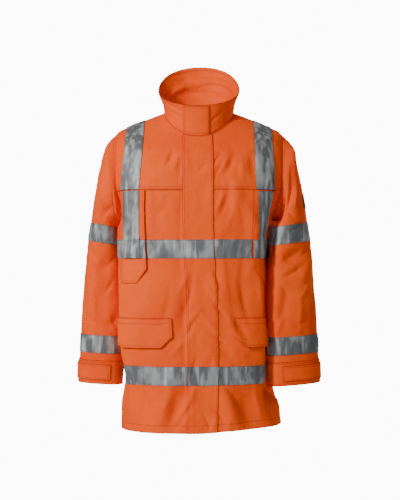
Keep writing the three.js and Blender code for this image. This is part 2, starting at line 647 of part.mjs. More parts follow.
function addLabel() {
  const turns = stepsBetween(LABEL.start, LABEL.end, 4);
  const downs = [LABEL.top, (LABEL.top + LABEL.foot) / 2, LABEL.foot];
  addPiece("sleeve_label", BLACK, sleeveGrid(SIDES.left, downs, turns), TAPE,
    () => TAPE_FACE + SEAM);
}

// Tapes round the body, cut at the storm flap, the chest flap and the side seams.
const bandLevels = (band) => [band.low, band.high];
function addChestTape(name, side) {
  const sewnTo = side < 0 ? STORM_FLAP.free : STORM_FLAP.sewn;
  const levels = bandLevels(CHEST_TAPE);
  const front = [sewnTo + 1, 62, HIP_FLAP.inner, 115, CHEST_FLAP.inner - 2.5].map((run) => side * run);
  addPiece(`chest_tape_front_${name}`, SILVER, clothGrid(levels, runTurns(front)), TAPE, () => TAPE_FACE);
  const onFlap = overRidges(levels.map((level) => CHEST_FLAP_RUNS.map((run) => (
    { ...clothSpot(bodyTurn(level, side * run), level), run })).sort((a, b) => a.turn - b.turn)));
  addPiece(`chest_tape_flap_${name}`, SILVER, onFlap, TAPE, (spot) => chestFlapLift(spot) + TAPE_FACE);
  const toSeam = (level) => {
    const turns = frontTurns(level, side).slice(FRONT_RUNS.length);
    return [bodyTurn(level, side * (CHEST_FLAP.outer + 2)), ...turns];
  };
  addPiece(`chest_tape_side_${name}`, SILVER, clothGrid(levels, toSeam), TAPE, () => TAPE_FACE);
}

function addHemTape(name, side) {
  const sewnTo = side < 0 ? STORM_FLAP.free : STORM_FLAP.sewn;
  const turns = (level) => [bodyTurn(level, side * (sewnTo + 1)), ...frontTurns(level, side).slice(3)];
  addPiece(`hem_tape_${name}`, SILVER, clothGrid(bandLevels(HEM_TAPE), turns), TAPE, () => TAPE_FACE);
}

function addBodyTapes() {
  for (const [name, band] of Object.entries({ chest: CHEST_TAPE, hem: HEM_TAPE })) {
    const storm = clothGrid(bandLevels(band), runTurns(STORM_RUNS));
    addPiece(`${name}_tape_storm_flap`, SILVER, storm, TAPE, () => STORM_FLAP_FACE + TAPE_FACE);
    addPiece(`${name}_tape_back`, SILVER, clothGrid(bandLevels(band), backTurns), TAPE, () => TAPE_FACE);
  }
}

// The angle on a ring, on its front or its back, where the body is as far from the middle as reach.
function turnAtReach(level, reach, side, back) {
  const ring = bodyRing(level);
  let near = back ? 180 : 0;
  let far = 90;
  for (let pass = 0; pass < 30; pass += 1) {
    const middle = (near + far) / 2;
    if (Math.abs(ringPoint(ring, side * middle).x) < reach) near = middle;
    else far = middle;
  }
  return side * ((near + far) / 2);
}

// The line over the shoulder that crosses its top at one distance from the middle, from the yoke seam to
// the back's chest tape, as evenly spaced spots. It splays out down the front and draws in down the back.
function braceLine(reach, side) {
  let low = SHOULDER_TIP;
  let high = NECK;
  for (let pass = 0; pass < 30; pass += 1) {
    const middle = (low + high) / 2;
    if (Math.abs(ringPoint(bodyRing(middle), side * 90).x) > reach) low = middle;
    else high = middle;
  }
  const crest = low;
  const splay = side < 0 ? BRACE.splayRight : BRACE.splayLeft;
  const eased = (from, to) => stepsBetween(0, 1, 60).map((t) => lerp(from, to, Math.sin((t * Math.PI) / 2)));
  const path = [
    ...eased(YOKE + 1, crest).map((level) => {
      const splayed = (splay * (crest - level)) / (crest - YOKE);
      return [turnAtReach(level, reach + splayed, side, false), level];
    }),
    ...eased(CHEST_TAPE.low, crest).slice(0, -1).reverse()
      .map((level) => {
        const drawnIn = (BRACE.drawIn * (crest - level)) / (crest - CHEST_TAPE.low);
        return [turnAtReach(level, reach - drawnIn, side, true), level];
      }),
  ];
  const points = path.map(([turn, level]) => ringPoint(bodyRing(level), turn));
  const read = [0];
  points.slice(1).forEach((point, i) => read.push(read[i] + point.distanceTo(points[i])));
  const total = read[read.length - 1];
  return stepsBetween(0, total, BRACE.steps).map((want) => {
    let i = 1;
    while (i < read.length - 1 && read[i] < want) i += 1;
    const share = (want - read[i - 1]) / (read[i] - read[i - 1]);
    const turn = lerp(path[i - 1][0], path[i][0], share);
    const level = lerp(path[i - 1][1], path[i][1], share);
    return { ...clothSpot(turn, level), onBack: Math.abs(turn) > 90, sewnEnd: want === 0 };
  });
}

function addBrace(name, side) {
  const lines = stepsBetween(BRACE.inner, BRACE.outer, BRACE.columns).map((reach) => braceLine(reach, side));
  const grid = overRidges(lines[0].map((_, i) => lines.map((line) => line[i])));
  const overTape = (spot) => (spot.onBack
    ? 1 - smoothstep(spot.level, CHEST_TAPE.high + 4, CHEST_TAPE.high + 24) : 0);
  const lift = (spot) => TAPE + (spot.sewnEnd ? 2 * SEAM : BRACE.gap) + overTape(spot) * TAPE_FACE;
  addPiece(`brace_${name}`, SILVER, grid, TAPE, lift);
  const levels = CHEST_FLAP_LEVELS.slice(0, -1);
  const onBand = (level) => 1 - smoothstep(level, CHEST_TAPE.high + 1, CHEST_TAPE.high + 12);
  const runs = [160, 175, 190, 208];
  const lower = overRidges([...levels, YOKE - 3].map((level) => runs.map((run) => (
    { ...clothSpot(bodyTurn(level, side * run), level), run })).sort((a, b) => a.turn - b.turn)));
  addPiece(`chest_brace_${name}`, SILVER, lower, TAPE,
    (spot) => chestFlapLift(spot) + TAPE_FACE + onBand(spot.level) * TAPE_FACE);
}

addPanel("back", BACK_LEVELS, backTurns);
Object.entries(SIDES).forEach(([name, side]) => addFronts(name, side));
addStormFlap();
addZip();
addCollar();
addCollarFlap();
addLabel();
addBodyTapes();
for (const [name, side] of Object.entries(SIDES)) {
  addChestFlap(name, side);
  addHipFlap(name, side);
  addSleeve(name, side);
  addChestTape(name, side);
  addHemTape(name, side);
  addBrace(name, side);
}

export default jacket;
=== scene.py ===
import itertools
import math

import bpy
import numpy as np
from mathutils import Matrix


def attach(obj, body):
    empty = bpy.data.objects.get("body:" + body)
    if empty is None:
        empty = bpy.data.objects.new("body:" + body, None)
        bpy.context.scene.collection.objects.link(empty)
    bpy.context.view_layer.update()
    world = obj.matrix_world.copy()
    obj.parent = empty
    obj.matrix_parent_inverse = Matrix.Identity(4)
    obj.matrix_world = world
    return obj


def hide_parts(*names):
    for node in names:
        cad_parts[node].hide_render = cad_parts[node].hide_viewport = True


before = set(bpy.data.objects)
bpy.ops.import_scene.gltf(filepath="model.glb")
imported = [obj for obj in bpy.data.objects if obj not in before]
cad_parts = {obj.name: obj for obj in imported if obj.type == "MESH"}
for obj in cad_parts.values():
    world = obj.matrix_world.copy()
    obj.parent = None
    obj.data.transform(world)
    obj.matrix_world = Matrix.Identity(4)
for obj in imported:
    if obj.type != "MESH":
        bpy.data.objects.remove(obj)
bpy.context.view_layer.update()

# The back. One panel of fluorescent orange polyester, woven as a twill and coated so that it sheds rain.
# It is cut from hem to neck, over to the shoulder seams, and hemmed with one row of stitches.
HEM, ARMPIT, SHOULDER_TIP, NECK, YOKE = -870, -300, -58, 0, -222
SEAM, SIDE_SEAM_LAP = 0.3, 0.2
SHELL_CLOTH = 1.8
BODY_RINGS = [
    # side, front, back, right, left, chest, spine, square, bow, press right, press left, twist, hitch
    (-870, -870, -870, 216, 228, 153, 132, 2.5, 1.6, 0, 0, 4.0, 11),
    (-805, -805, -805, 217, 222, 153, 130, 2.5, 1.6, 3, 6, 4.5, 6),
    (-765, -765, -765, 220, 219, 153, 129, 2.5, 1.6, 14, 35, 4.8, 2),
    (-737, -737, -737, 222, 217, 153, 128, 2.6, 1.6, 20, 37, 5.0, 0),
    (-640, -640, -640, 246, 216, 153, 126, 2.8, 1.6, 46, 40, 5.0, 0),
    (-560, -560, -560, 251, 217, 151, 124, 2.8, 1.6, 52, 40, 4.5, 0),
    (-450, -450, -450, 249, 220, 149, 122, 2.8, 1.6, 50, 36, 2.5, 0),
    (-351, -351, -351, 247, 234, 147, 121, 2.8, 1.6, 42, 44, 0.5, 0),
    (-300, -300, -300, 248, 244, 146, 121, 2.8, 1.6, 38, 42, 0, 0),
    (-255, -255, -255, 250, 248, 145, 121, 2.8, 1.6, 28, 24, 0, 0),
    (-206, -206, -206, 252, 252, 144, 121, 2.7, 1.6, 8, 6, 0, 0),
    (-130, -164, -118, 247, 247, 140, 118, 2.6, 1.6, 0, 0, 0, 0),
    (-58, -126, -48, 228, 228, 130, 110, 2.4, 1.6, 0, 0, 0, 0),
    (-30, -102, -19, 172, 172, 116, 99, 2.3, 1.6, 0, 0, -0.5, 0),
    (0, -72, 12, 97, 97, 96, 84, 2.2, 1.6, 0, 0, -1, 0),
]
# The largest folds: turn, level, lean, length, width, height.
LARGE_FOLDS = [
    (22, -150, -18, 130, 15, -3), (36, -230, 6, 190, 18, 4), (20, -520, 26, 200, 17, 5),
    (28, -560, 32, 190, 15, -5), (-20, -560, -20, 190, 18, -4), (-24, -800, -22, 190, 20, -6),
    (-40, -820, -8, 150, 24, 4), (24, -800, 24, 190, 20, 6), (40, -810, 18, 180, 22, -6),
    (68, -800, 4, 150, 16, -5), (132, -800, -10, 190, 24, -6), (-150, -780, 12, 220, 24, -6),
    (172, -760, 4, 240, 26, 5), (140, -240, -30, 190, 20, -4), (-140, -250, 28, 190, 20, -4),
    (-176, -140, 88, 220, 18, -4), (76, -335, 4, 150, 13, 4.5),
]
# Creases between them: turn, level, lean, length, width, height, skew towards one side, bend in mm.
CREASES = [
    (-31, -78, -6, 120, 9, -3.2, 0.4, 6), (-24, -100, -10, 110, 10, 2.2, 0.3, 4),
    (3, -128, -28, 90, 10, -1.4, 0.3, 4), (25, -125, -19, 180, 8, 2.6, 0.3, 4),
    (21, -72, -25, 100, 8, -2.4, 0.4, 4), (32, -120, -17, 180, 9, -2.4, -0.3, 4),
    (41, -130, -3, 180, 10, 2.0, 0.3, 0), (49, -130, 0, 200, 12, -2.8, 0.3, 0),
    (21, -256, -25, 90, 7, 2.2, 0.3, 4), (25, -264, -22, 100, 8, -2.2, 0.4, 4),
    (31, -290, -14, 120, 10, 2.6, 0.3, 6), (40, -300, 10, 140, 9, -2.0, 0.2, 0),
    (47, -300, 16, 130, 10, 1.8, 0.2, 0), (-44, -270, 4, 170, 12, 1.6, 0.2, 0),
    (14, -455, 16, 130, 7, -2.4, 0.4, 8), (10, -500, 34, 110, 7, 2.4, 0.3, 6),
    (16, -545, 40, 120, 7, -2.6, 0.4, -6), (8, -585, 44, 110, 6, 2.2, 0.4, 6),
    (14, -620, 52, 120, 6, -2.6, 0.4, 8), (6, -650, 60, 100, 6, 2.0, 0.3, 4),
    (20, -655, 50, 110, 6, -2.0, 0.4, 6), (30, -600, 24, 120, 8, 2.0, 0.3, 0),
    (38, -520, 10, 180, 10, -2.6, 0.3, 0), (52, -500, 4, 160, 11, 2.0, 0.2, 0),
    (-12, -500, -16, 120, 8, -2.4, -0.3, 6), (-18, -470, -34, 90, 7, 2.0, 0.3, 4),
    (-10, -560, -44, 90, 6, 2.0, 0.3, 4), (-14, -600, -30, 110, 7, -2.2, -0.3, 6),
    (-24, -640, -40, 100, 8, 1.8, 0.3, 0), (-33, -530, -12, 150, 9, -1.8, 0.3, 6),
    (-46, -530, 6, 160, 12, 1.8, 0.2, 0), (-60, -520, -6, 150, 10, -1.8, 0.2, 0),
    (-10, -690, -20, 90, 8, -2.0, 0.2, 0), (12, -700, 16, 90, 7, 2.0, 0.2, 0),
    (30, -715, 8, 100, 8, -1.8, 0.2, 0), (-30, -715, -14, 100, 9, 1.8, 0.2, 0),
    (-14, -780, -26, 130, 9, 3.0, 0.4, 8), (-20, -830, -34, 110, 8, -2.8, 0.4, 6),
    (-34, -780, -16, 120, 10, 2.2, 0.3, 0), (-52, -800, -6, 130, 10, -2.2, 0.2, 0),
    (4, -840, 30, 80, 6, -2.6, 0.4, 6), (10, -850, -26, 70, 5, 2.4, 0.4, 4),
    (16, -825, 46, 90, 6, -2.8, 0.4, 6), (24, -850, 20, 80, 6, 2.4, 0.3, 4),
    (31, -790, 30, 150, 8, -2.8, 0.4, 8), (50, -800, 12, 140, 9, 2.6, 0.3, 0),
    (60, -790, 0, 130, 9, -2.4, 0.3, 0), (78, -800, 2, 140, 9, 2.4, 0.2, 0),
    (-76, -790, 4, 140, 10, -2.4, 0.2, 0), (-64, -720, 10, 120, 9, 1.8, 0.2, 0),
    (100, -700, -8, 200, 12, -2.6, 0.3, 6), (112, -780, 8, 170, 12, 2.6, 0.3, 0),
    (122, -520, -22, 230, 13, -2.6, 0.3, 10), (136, -420, -30, 200, 12, 2.6, 0.3, 8),
    (150, -330, -38, 190, 11, -2.6, 0.3, 8), (126, -330, -20, 180, 12, 2.4, 0.3, 8),
    (158, -560, -14, 220, 14, 2.2, 0.2, 6), (150, -740, -6, 190, 13, -2.6, 0.3, 0),
    (-166, -800, 6, 160, 12, 2.6, 0.3, 0), (-134, -800, 4, 180, 12, 2.4, 0.3, 0),
    (-118, -700, 10, 190, 12, -2.6, 0.3, 6), (-104, -560, 14, 180, 11, 2.2, 0.3, 6),
    (-128, -470, 26, 210, 12, -2.6, 0.3, -8), (-142, -390, 34, 190, 11, 2.4, 0.3, -8),
    (-152, -310, 40, 170, 11, -2.4, 0.3, -8), (-124, -330, 22, 170, 11, 2.2, 0.3, -6),
    (-162, -520, 12, 200, 14, -2.0, 0.2, 0), (178, -430, 2, 260, 16, 1.8, 0.2, 0),
    (170, -90, 80, 150, 9, 2.0, 0.3, 6), (-168, -190, 78, 170, 10, 1.8, 0.3, 6),
    (152, -180, -60, 120, 10, -2.0, 0.3, 4), (-152, -180, 60, 120, 10, -2.0, 0.3, 4),
    (-18.5, -640, 0, 440, 9, -2.0, -0.3, 0), (-18.5, -330, -2, 280, 8, -1.6, -0.3, 0),
    (-20, -140, -4, 170, 8, -1.4, -0.3, 0), (23, -450, 4, 330, 18, 2.4, -0.4, 0),
    (39, -450, 0, 380, 24, -3.2, 0.2, 0), (50, -815, 16, 230, 30, -3.2, 0.2, 0),
    (-28, -800, -14, 150, 16, -2.2, 0.4, 6), (30, -260, 4, 200, 12, -1.8, 0.3, 0),
]
MM_PER_DEGREE = 3.2
# Where each sleeve presses on the body: level, middle and half width in degrees, low down and at the armpit.
SLEEVE_PRESS = {"right": [(-330, 97, 16.5), (-285, 94, 19)], "left": [(-375, 77, 9), (-285, 88, 18)]}
PRESS_RAMP = 15
NUDGE = 0.4


def unit(ways):
    return ways / np.linalg.norm(ways, axis=-1, keepdims=True)


def eased(value, low, high):
    share = np.clip((value - low) / (high - low), 0, 1)
    return share * share * (3 - 2 * share)


def between_rows(places, rows, at):
    """The smooth curve through a table's rows, which never overshoots them, read at some places."""
    places, rows, at = (np.asarray(part, float) for part in (places, rows, at))
    wide = (1,) * (rows.ndim - 1)
    gap = np.diff(places).reshape(-1, *wide)
    slope = np.diff(rows, axis=0) / gap
    tangent = np.empty_like(rows)
    tangent[0], tangent[-1] = slope[0], slope[-1]
    before, after = gap[:-1], gap[1:]
    same_way = slope[:-1] * slope[1:] > 0
    low, high = (np.where(same_way, part, 1) for part in (slope[:-1], slope[1:]))
    mean = 3 * (before + after) / ((2 * after + before) / low + (after + 2 * before) / high)
    tangent[1:-1] = np.where(same_way, mean, 0)
    row = np.searchsorted(places[1:-1], at, side="left")
    step = gap[row]
    share = ((at - places[row]) / np.diff(places)[row]).reshape(*at.shape, *wide)
    lead = share * (1 - share) ** 2 * tangent[row]
    trail = share * share * (share - 1) * tangent[row + 1]
    return rows[row] + (rows[row + 1] - rows[row]) * share * share * (3 - 2 * share) + step * (lead + trail)


def rings_at(rings, place):
    """The 13 measures of a ring at some places in a table, whose first column is the place."""
    return between_rows([row[0] for row in rings], [row[-13:] for row in rings], place)


def ring_point(ring, turn):
    """A point of a ring round the wearer, by its angle from the centre front."""
    side, front, back, right, left, chest, spine, square, bow, press_r, press_l, twist, hitch = np.moveaxis(
        ring, -1, 0)
    angle = np.radians(turn)
    in_front, on_right, press = np.abs(turn) <= 90, turn < 0, 0
    for name, here in (("right", on_right), ("left", ~on_right)):
        low, high = SLEEVE_PRESS[name]
        share = eased(side, low[0], high[0])
        middle, flat = (low[k] + (high[k] - low[k]) * share for k in (1, 2))
        press = press + here * (1 - eased(np.abs(np.abs(turn) - middle), flat, flat + PRESS_RAMP))
    depth = np.where(in_front, chest, spine)
    squared = ((np.abs(np.cos(angle)) / depth) ** square
               + (np.abs(np.sin(angle)) / np.where(on_right, right, left)) ** square)
    reach = squared ** (-1 / square) - press * np.where(on_right, press_r, press_l)
    x, y = reach * np.sin(angle), -reach * np.cos(angle)
    height = side + (np.where(in_front, front, back) - side) * (np.abs(y) / depth) ** bow
    height = height + hitch * np.maximum(0, np.sin(angle))
    turned = np.radians(twist)
    return np.stack([x * np.cos(turned) - y * np.sin(turned), x * np.sin(turned) + y * np.cos(turned),
                     height], axis=-1)


FOLD_STRENGTH, CREASE_STRENGTH = 1.7, 1.9


def fold_heights(folds, turn, along_it, mm_per_degree):
    """How far the large folds and the creases raise the cloth."""
    height = np.zeros(np.broadcast(turn, along_it).shape)
    for fold in folds:
        at_turn, at_level, lean, length, width, rise = fold[:6]
        skew, bend = fold[6:] or (0, 0)
        around, up = (turn - at_turn) * mm_per_degree, along_it - at_level
        lean = math.radians(lean)
        along = np.abs(up * math.cos(lean) - around * math.sin(lean)) / (length / 2)
        across = up * math.sin(lean) + around * math.cos(lean) + bend * along * along
        fade = (1 - np.minimum(1, along) ** 2) ** 2
        wide = across / (width * np.where(across > 0, 1 + skew, 1 - skew))
        if len(fold) == 6:
            height = height + FOLD_STRENGTH * rise * np.exp(-wide * wide) * fade
        else:
            height = height + CREASE_STRENGTH * rise * (1 + wide * wide) ** -1.6 * fade
    return height


draw = np.random.default_rng(23)
LATTICE = draw.permutation(256)
SLOPES = unit(draw.normal(size=(256, 3)))


def crumple(points, size):
    """Smooth uneven heights, from about -0.5 to 0.5, with bumps of one size."""
    spread = points / np.asarray(size, float)
    cell = np.floor(spread).astype(int)
    inside = spread - cell
    ease = inside ** 3 * (inside * (6 * inside - 15) + 10)
    total = 0
    for corner in itertools.product((0, 1), repeat=3):
        index = 0
        for axis in range(3):
            index = LATTICE[(index + cell[..., axis] + corner[axis]) & 255]
        weight = np.prod(np.where(corner, ease, 1 - ease), axis=-1)
        total = total + weight * ((inside - corner) * SLOPES[index]).sum(axis=-1)
    return total


def small_creases(points, strength=1.0):
    """The soft hollows and thin creases that well-used coated cloth keeps everywhere."""
    broad = 4.4 * crumple(points, (85, 85, 150))
    thin = 0.55 - np.abs(crumple(points + 500, (42, 42, 60))) * 2.2
    finest = 0.9 * crumple(points + 900, (15, 15, 19))
    return strength * (broad + 1.8 * thin + finest)


def folded_spot(form, turn, place, low, high, way=1):
    """Points of folded cloth and the directions out of it.

    form gives the bare point and the folds' height by angle and place, here at each point and beside it."""
    nudges = [(0, 0), (-NUDGE, 0), (NUDGE, 0), (0, -NUDGE), (0, NUDGE)]
    bare, heights = zip(*(form(turn + aside, np.clip(place + along, low, high)) for aside, along in nudges))
    out = unit(way * np.cross(bare[2] - bare[1], bare[4] - bare[3]))
    raised = [point + out * height[..., None] for point, height in zip(bare, heights)]
    return raised[0], unit(way * np.cross(raised[2] - raised[1], raised[4] - raised[3]))


def wrap(turn):
    return (turn + 180) % 360 - 180


FAR_ROUND = 120
FOLDS_END, CREASES_END = (-75, -20), (-45, -8)


def body_form(turn, level):
    turn = wrap(turn)
    bare = ring_point(rings_at(BODY_RINGS, level), turn)
    folds = LARGE_FOLDS + CREASES
    near = fold_heights(folds, turn, level, MM_PER_DEGREE)
    far = [fold for fold in folds if abs(fold[0]) > FAR_ROUND]
    past = fold_heights(far, turn - 360 * np.sign(turn), level, MM_PER_DEGREE)
    return bare, ((near + past) * (1 - eased(level, *FOLDS_END))
                  + small_creases(bare) * (1 - eased(level, *CREASES_END)))


def body_spot(turn, level):
    """Points of the body's cloth and the directions out of it, by angle and level."""
    turn, level = np.broadcast_arrays(np.asarray(turn, float), np.asarray(level, float))
    return folded_spot(body_form, turn, level, HEM, NECK)


def armhole_share(level):
    height = np.minimum(1, np.abs(level - (ARMPIT + SHOULDER_TIP) / 2) / ((SHOULDER_TIP - ARMPIT) / 2))
    return np.sqrt(1 - height * height) ** ARMHOLE["fullness"]


def side_seam_turn(level):
    ring = rings_at(BODY_RINGS, level)
    return np.degrees(-SIDE_SEAM_LAP / (ring[..., 4] - ring[..., 10]))


ARMHOLE = {"front": 19.5, "back": 20.5, "fullness": 0.8, "steps": 60}
ARMHOLE_LEVELS = ARMPIT + (SHOULDER_TIP - ARMPIT) * (
    1 - np.cos(np.linspace(0, np.pi, ARMHOLE["steps"] + 1))) / 2
CLOTH_STEP = 5.0


def steps(low, high, step=CLOTH_STEP):
    return np.linspace(low, high, max(2, int(round(abs(high - low) / step)) + 1))


def stretched(values, at):
    """Rows of an array read between its rows."""
    low = np.clip(np.floor(at).astype(int), 0, len(values) - 2)
    share = (at - low).reshape(-1, *(1,) * (values.ndim - 1))
    return values[low] * (1 - share) + values[low + 1] * share


STITCH_SINK, GROOVE, EDGE_ROW = 0.35, 0.9, 0.9
# Painted shade, with some wear: how dark the cloth is painted in its stitch grooves, along its cut edges and
# on its rolled rims, where gaps and grooves would be in shade.
PAINTED_SHADE_AND_WEAR = {"groove": 0.5, "edge": 0.6, "rim": 0.85}


def lengths(points):
    """How far along a line of points each of them is."""
    return np.concatenate([[0], np.cumsum(np.linalg.norm(np.diff(points, axis=0), axis=-1))])


def edge_lines(points, first, last):
    """Extra lines of points beside an edge and at its rows of stitches, as places between the rows."""
    away = np.linalg.norm(np.diff(points, axis=0), axis=-1).mean(axis=1)
    read = np.concatenate([[0], np.cumsum(away)])
    seams = [*first, *(read[-1] - distance for distance in last)]
    beside = [seam + off for seam in seams for off in (-1.2, 0, 1.2)]
    wanted = np.unique(np.round(np.concatenate([read, beside, [EDGE_ROW, read[-1] - EDGE_ROW]]), 3))
    wanted = wanted[(wanted >= 0) & (wanted <= read[-1])]
    sunk = np.zeros(len(wanted))
    for seam in seams:
        sunk = np.maximum(sunk, STITCH_SINK * np.exp(-((wanted - seam) / GROOVE) ** 2))
    return np.interp(wanted, read, np.arange(len(read))), sunk, read


def sew(name, spots, face, thickness, look, foot=(), head=(), start=(), end=(), ringed=False):
    """Makes a piece of cloth with rolled edges from rows of spots, and returns it with its stitch lines.

    face is how far the outer side stands off the spots. foot, head, start and end are the distances of
    the rows of stitches from those edges, in millimetres."""
    points, normals = spots
    face = np.broadcast_to(np.asarray(face, float), points.shape[:2])
    parts = points, normals, face
    up_places, up_sunk, up_read = edge_lines(points, foot, head)
    parts = [stretched(part, up_places) for part in parts]
    side_sunk = np.zeros(points.shape[1])
    if not ringed:
        side_places, side_sunk, side_read = edge_lines(parts[0].swapaxes(0, 1), start, end)
        parts = [stretched(part.swapaxes(0, 1), side_places).swapaxes(0, 1) for part in parts]
    points, normals, face = parts[0], unit(parts[1]), parts[2]

    def nearest(places, read, first, last):
        at = np.interp(places, np.arange(len(read)), read)
        seams = [*first, *(at[-1] - distance for distance in last)]
        return [np.argmin(np.abs(at - seam)) for seam in seams]

    stitched = [(points[row], normals[row], face[row], ringed)
                for row in nearest(up_places, up_read, foot, head)]
    if not ringed:
        stitched += [(points[:, column], normals[:, column], face[:, column], False)
                     for column in nearest(side_places, side_read, start, end)]
    sunk = np.maximum(up_sunk[:, None], side_sunk[None, :])
    outer = points + normals * (face - sunk)[..., None]
    inner = points + normals * (face - thickness)[..., None]
    # Painted shade and wear: darker in the stitch grooves and along the edges.
    painted_shade_and_wear = PAINTED_SHADE_AND_WEAR["groove"] * sunk / STITCH_SINK
    painted_shade_and_wear[[0, -1]] = PAINTED_SHADE_AND_WEAR["edge"]
    if not ringed:
        painted_shade_and_wear[:, [0, -1]] = PAINTED_SHADE_AND_WEAR["edge"]
    piece = wall_mesh(name, outer, inner, painted_shade_and_wear, thickness, ringed, look)
    return piece, [(line + out * (lift - STITCH_SINK * 0.6)[:, None], out, closed)
                   for line, out, lift, closed in stitched]


ROLL_ANGLES = np.radians([40, 90, 140])


def rim_ways(middle, r, c, ringed):
    """The directions past the edges of a grid of points, along a loop of its rows and columns."""
    beyond = np.zeros((len(r), 3))
    for axis in range(1 if ringed else 2):
        last, here = middle.shape[axis] - 1, (r, c)[axis]
        for edge, inside in ((0, 1), (last, last - 1)):
            on, off = [r, c], [r, c]
            on[axis], off[axis] = np.full_like(r, edge), np.full_like(r, inside)
            beyond += unit(middle[tuple(on)] - middle[tuple(off)]) * (here == edge)[:, None]
    return unit(beyond)


def wall_mesh(name, outer, inner, painted_shade_and_wear, thickness, ringed, look):
    """A closed wall between two grids of points, in millimetres, with a rolled rim along each open edge."""
    rows, columns = outer.shape[:2]
    grid = np.arange(rows * columns).reshape(rows, columns)
    if ringed:
        grid = np.hstack([grid, grid[:, :1]])
    closing = np.concatenate([outer, outer[:, :1]], axis=1) if ringed else outer
    along = np.concatenate([np.zeros((rows, 1)), np.cumsum(np.linalg.norm(
        np.diff(closing, axis=1), axis=-1), axis=1)], axis=1)
    upward = np.concatenate([np.zeros((1, closing.shape[1])), np.cumsum(np.linalg.norm(
        np.diff(closing, axis=0), axis=-1), axis=0)], axis=0)
    chart = np.stack([along - along.mean(axis=1, keepdims=True), upward], axis=-1) / 1000

    def quads(index):
        four = [index[:-1, :-1], index[:-1, 1:], index[1:, 1:], index[1:, :-1]]
        return np.stack(four, axis=-1).reshape(-1, 4)

    place = np.arange(grid.size).reshape(grid.shape)
    corners = [quads(grid), quads(grid)[:, ::-1] + rows * columns]
    charts = [chart.reshape(-1, 2)[quads(place)], chart.reshape(-1, 2)[quads(place)[:, ::-1]]]
    vertices = [outer.reshape(-1, 3), inner.reshape(-1, 3)]
    shades = [painted_shade_and_wear.ravel(), painted_shade_and_wear.ravel()]
    middle = (outer + inner) / 2
    last_row, last_column = rows - 1, columns - 1
    if ringed:
        loops = [[(0, c) for c in range(columns)], [(last_row, c) for c in range(columns)][::-1]]
    else:
        loops = [[(0, c) for c in range(columns)] + [(r, last_column) for r in range(1, rows)]
                 + [(last_row, c) for c in range(last_column - 1, -1, -1)]
                 + [(r, 0) for r in range(last_row - 1, 0, -1)]]
    used = 2 * rows * columns
    for loop in loops:
        r, c = np.array(loop).T
        beyond = rim_ways(middle, r, c, ringed)
        half = (outer[r, c] - inner[r, c]) / 2
        strips = [r * columns + c]
        for angle in ROLL_ANGLES:
            ring = middle[r, c] + half * math.cos(angle) + beyond * (thickness / 2 * math.sin(angle))
            vertices.append(ring)
            # The rolled rims get the darkest painted shade and wear.
            shades.append(np.full(len(ring), PAINTED_SHADE_AND_WEAR["rim"]))
            strips.append(used + np.arange(len(loop)))
            used += len(loop)
        strips.append(strips[0] + rows * columns)
        band = np.array(strips)
        band = np.hstack([band, band[:, :1]])
        faces = quads(band)[:, ::-1]
        across = np.vstack([chart[r, c], chart[r[:1], c[:1]]])
        rim_chart = np.stack([across + [0, 0.0004 * step] for step in range(len(band))])
        index = np.arange(band.size).reshape(band.shape)
        corners.append(faces)
        charts.append(rim_chart.reshape(-1, 2)[quads(index)[:, ::-1]])
    return cloth_object(name, np.concatenate(vertices), np.concatenate(shades), np.concatenate(corners),
                        np.concatenate(charts), look)


def added(name, mesh, look, ride=True):
    """The object of a mesh, with its finish, in the scene and on the jacket."""
    mesh.materials.append(look)
    piece = bpy.data.objects.new(name, mesh)
    bpy.context.scene.collection.objects.link(piece)
    if ride:
        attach(piece, "root")
    return piece


def cloth_object(name, vertices, shades, corners, chart, look):
    """A smooth closed mesh, in metres, with its faces out and the cloth's own chart in metres."""
    a, b, c, d = (vertices[corners[:, k]] for k in range(4))
    if (np.einsum("ij,ij->i", a, np.cross(b, c)) + np.einsum("ij,ij->i", a, np.cross(c, d))).sum() < 0:
        corners, chart = corners[:, ::-1], chart[:, ::-1]
    mesh = bpy.data.meshes.new(name)
    mesh.vertices.add(len(vertices))
    mesh.vertices.foreach_set("co", (vertices / 1000).astype(np.float32).ravel())
    mesh.loops.add(corners.size)
    mesh.loops.foreach_set("vertex_index", corners.astype(np.int32).ravel())
    mesh.polygons.add(len(corners))
    mesh.polygons.foreach_set("loop_start", np.arange(0, corners.size, 4, dtype=np.int32))
    mesh.polygons.foreach_set("use_smooth", np.ones(len(corners), dtype=bool))
    mesh.uv_layers.new(name="cut").data.foreach_set("uv", chart.astype(np.float32).ravel())
    # This attribute carries the painted shade and wear to the finishes.
    mesh.attributes.new("painted_shade_and_wear", "FLOAT", "POINT").data.foreach_set("value", shades.astype(np.float32))
    mesh.update(calc_edges=True)
    mesh.validate()
    return added(name, mesh, look)


def node(tree, kind, inputs=None, **settings):
    """A node of a finish, with its settings and what feeds it, as its outputs."""
    made = tree.nodes.new(kind)
    for name, value in settings.items():
        setattr(made, name, value)
    for name, value in (inputs or {}).items():
        if isinstance(value, bpy.types.NodeSocket):
            tree.links.new(value, made.inputs[name])
        else:
            made.inputs[name].default_value = value
    return made.outputs


def math_node(tree, operation, *values):
    return node(tree, "ShaderNodeMath", dict(enumerate(values)), operation=operation)[0]


def mixed_colours(tree, share, low, high):
    return node(tree, "ShaderNodeMix", {0: share, 6: low, 7: high}, data_type="RGBA")[2]


def soft_noise(tree, where, scale, detail=3.0, rough=0.55):
    return node(tree, "ShaderNodeTexNoise",
                {"Vector": where, "Scale": scale, "Detail": detail, "Roughness": rough})[0]


def ranged(tree, value, low, high, to_low=0.0, to_high=1.0):
    return node(tree, "ShaderNodeMapRange", {"Value": value, "From Min": low, "From Max": high,
                                             "To Min": to_low, "To Max": to_high})[0]


def woven(tree, chart, pitch):
    """The height of a plain weave, from the cloth's own chart in metres."""
    threads = [node(tree, "ShaderNodeTexWave", {"Vector": chart, "Scale": 0.314 / pitch, "Distortion": 0.0},
                    wave_type="BANDS", bands_direction=way)["Fac"] for way in "XY"]
    return math_node(tree, "MULTIPLY", *threads)


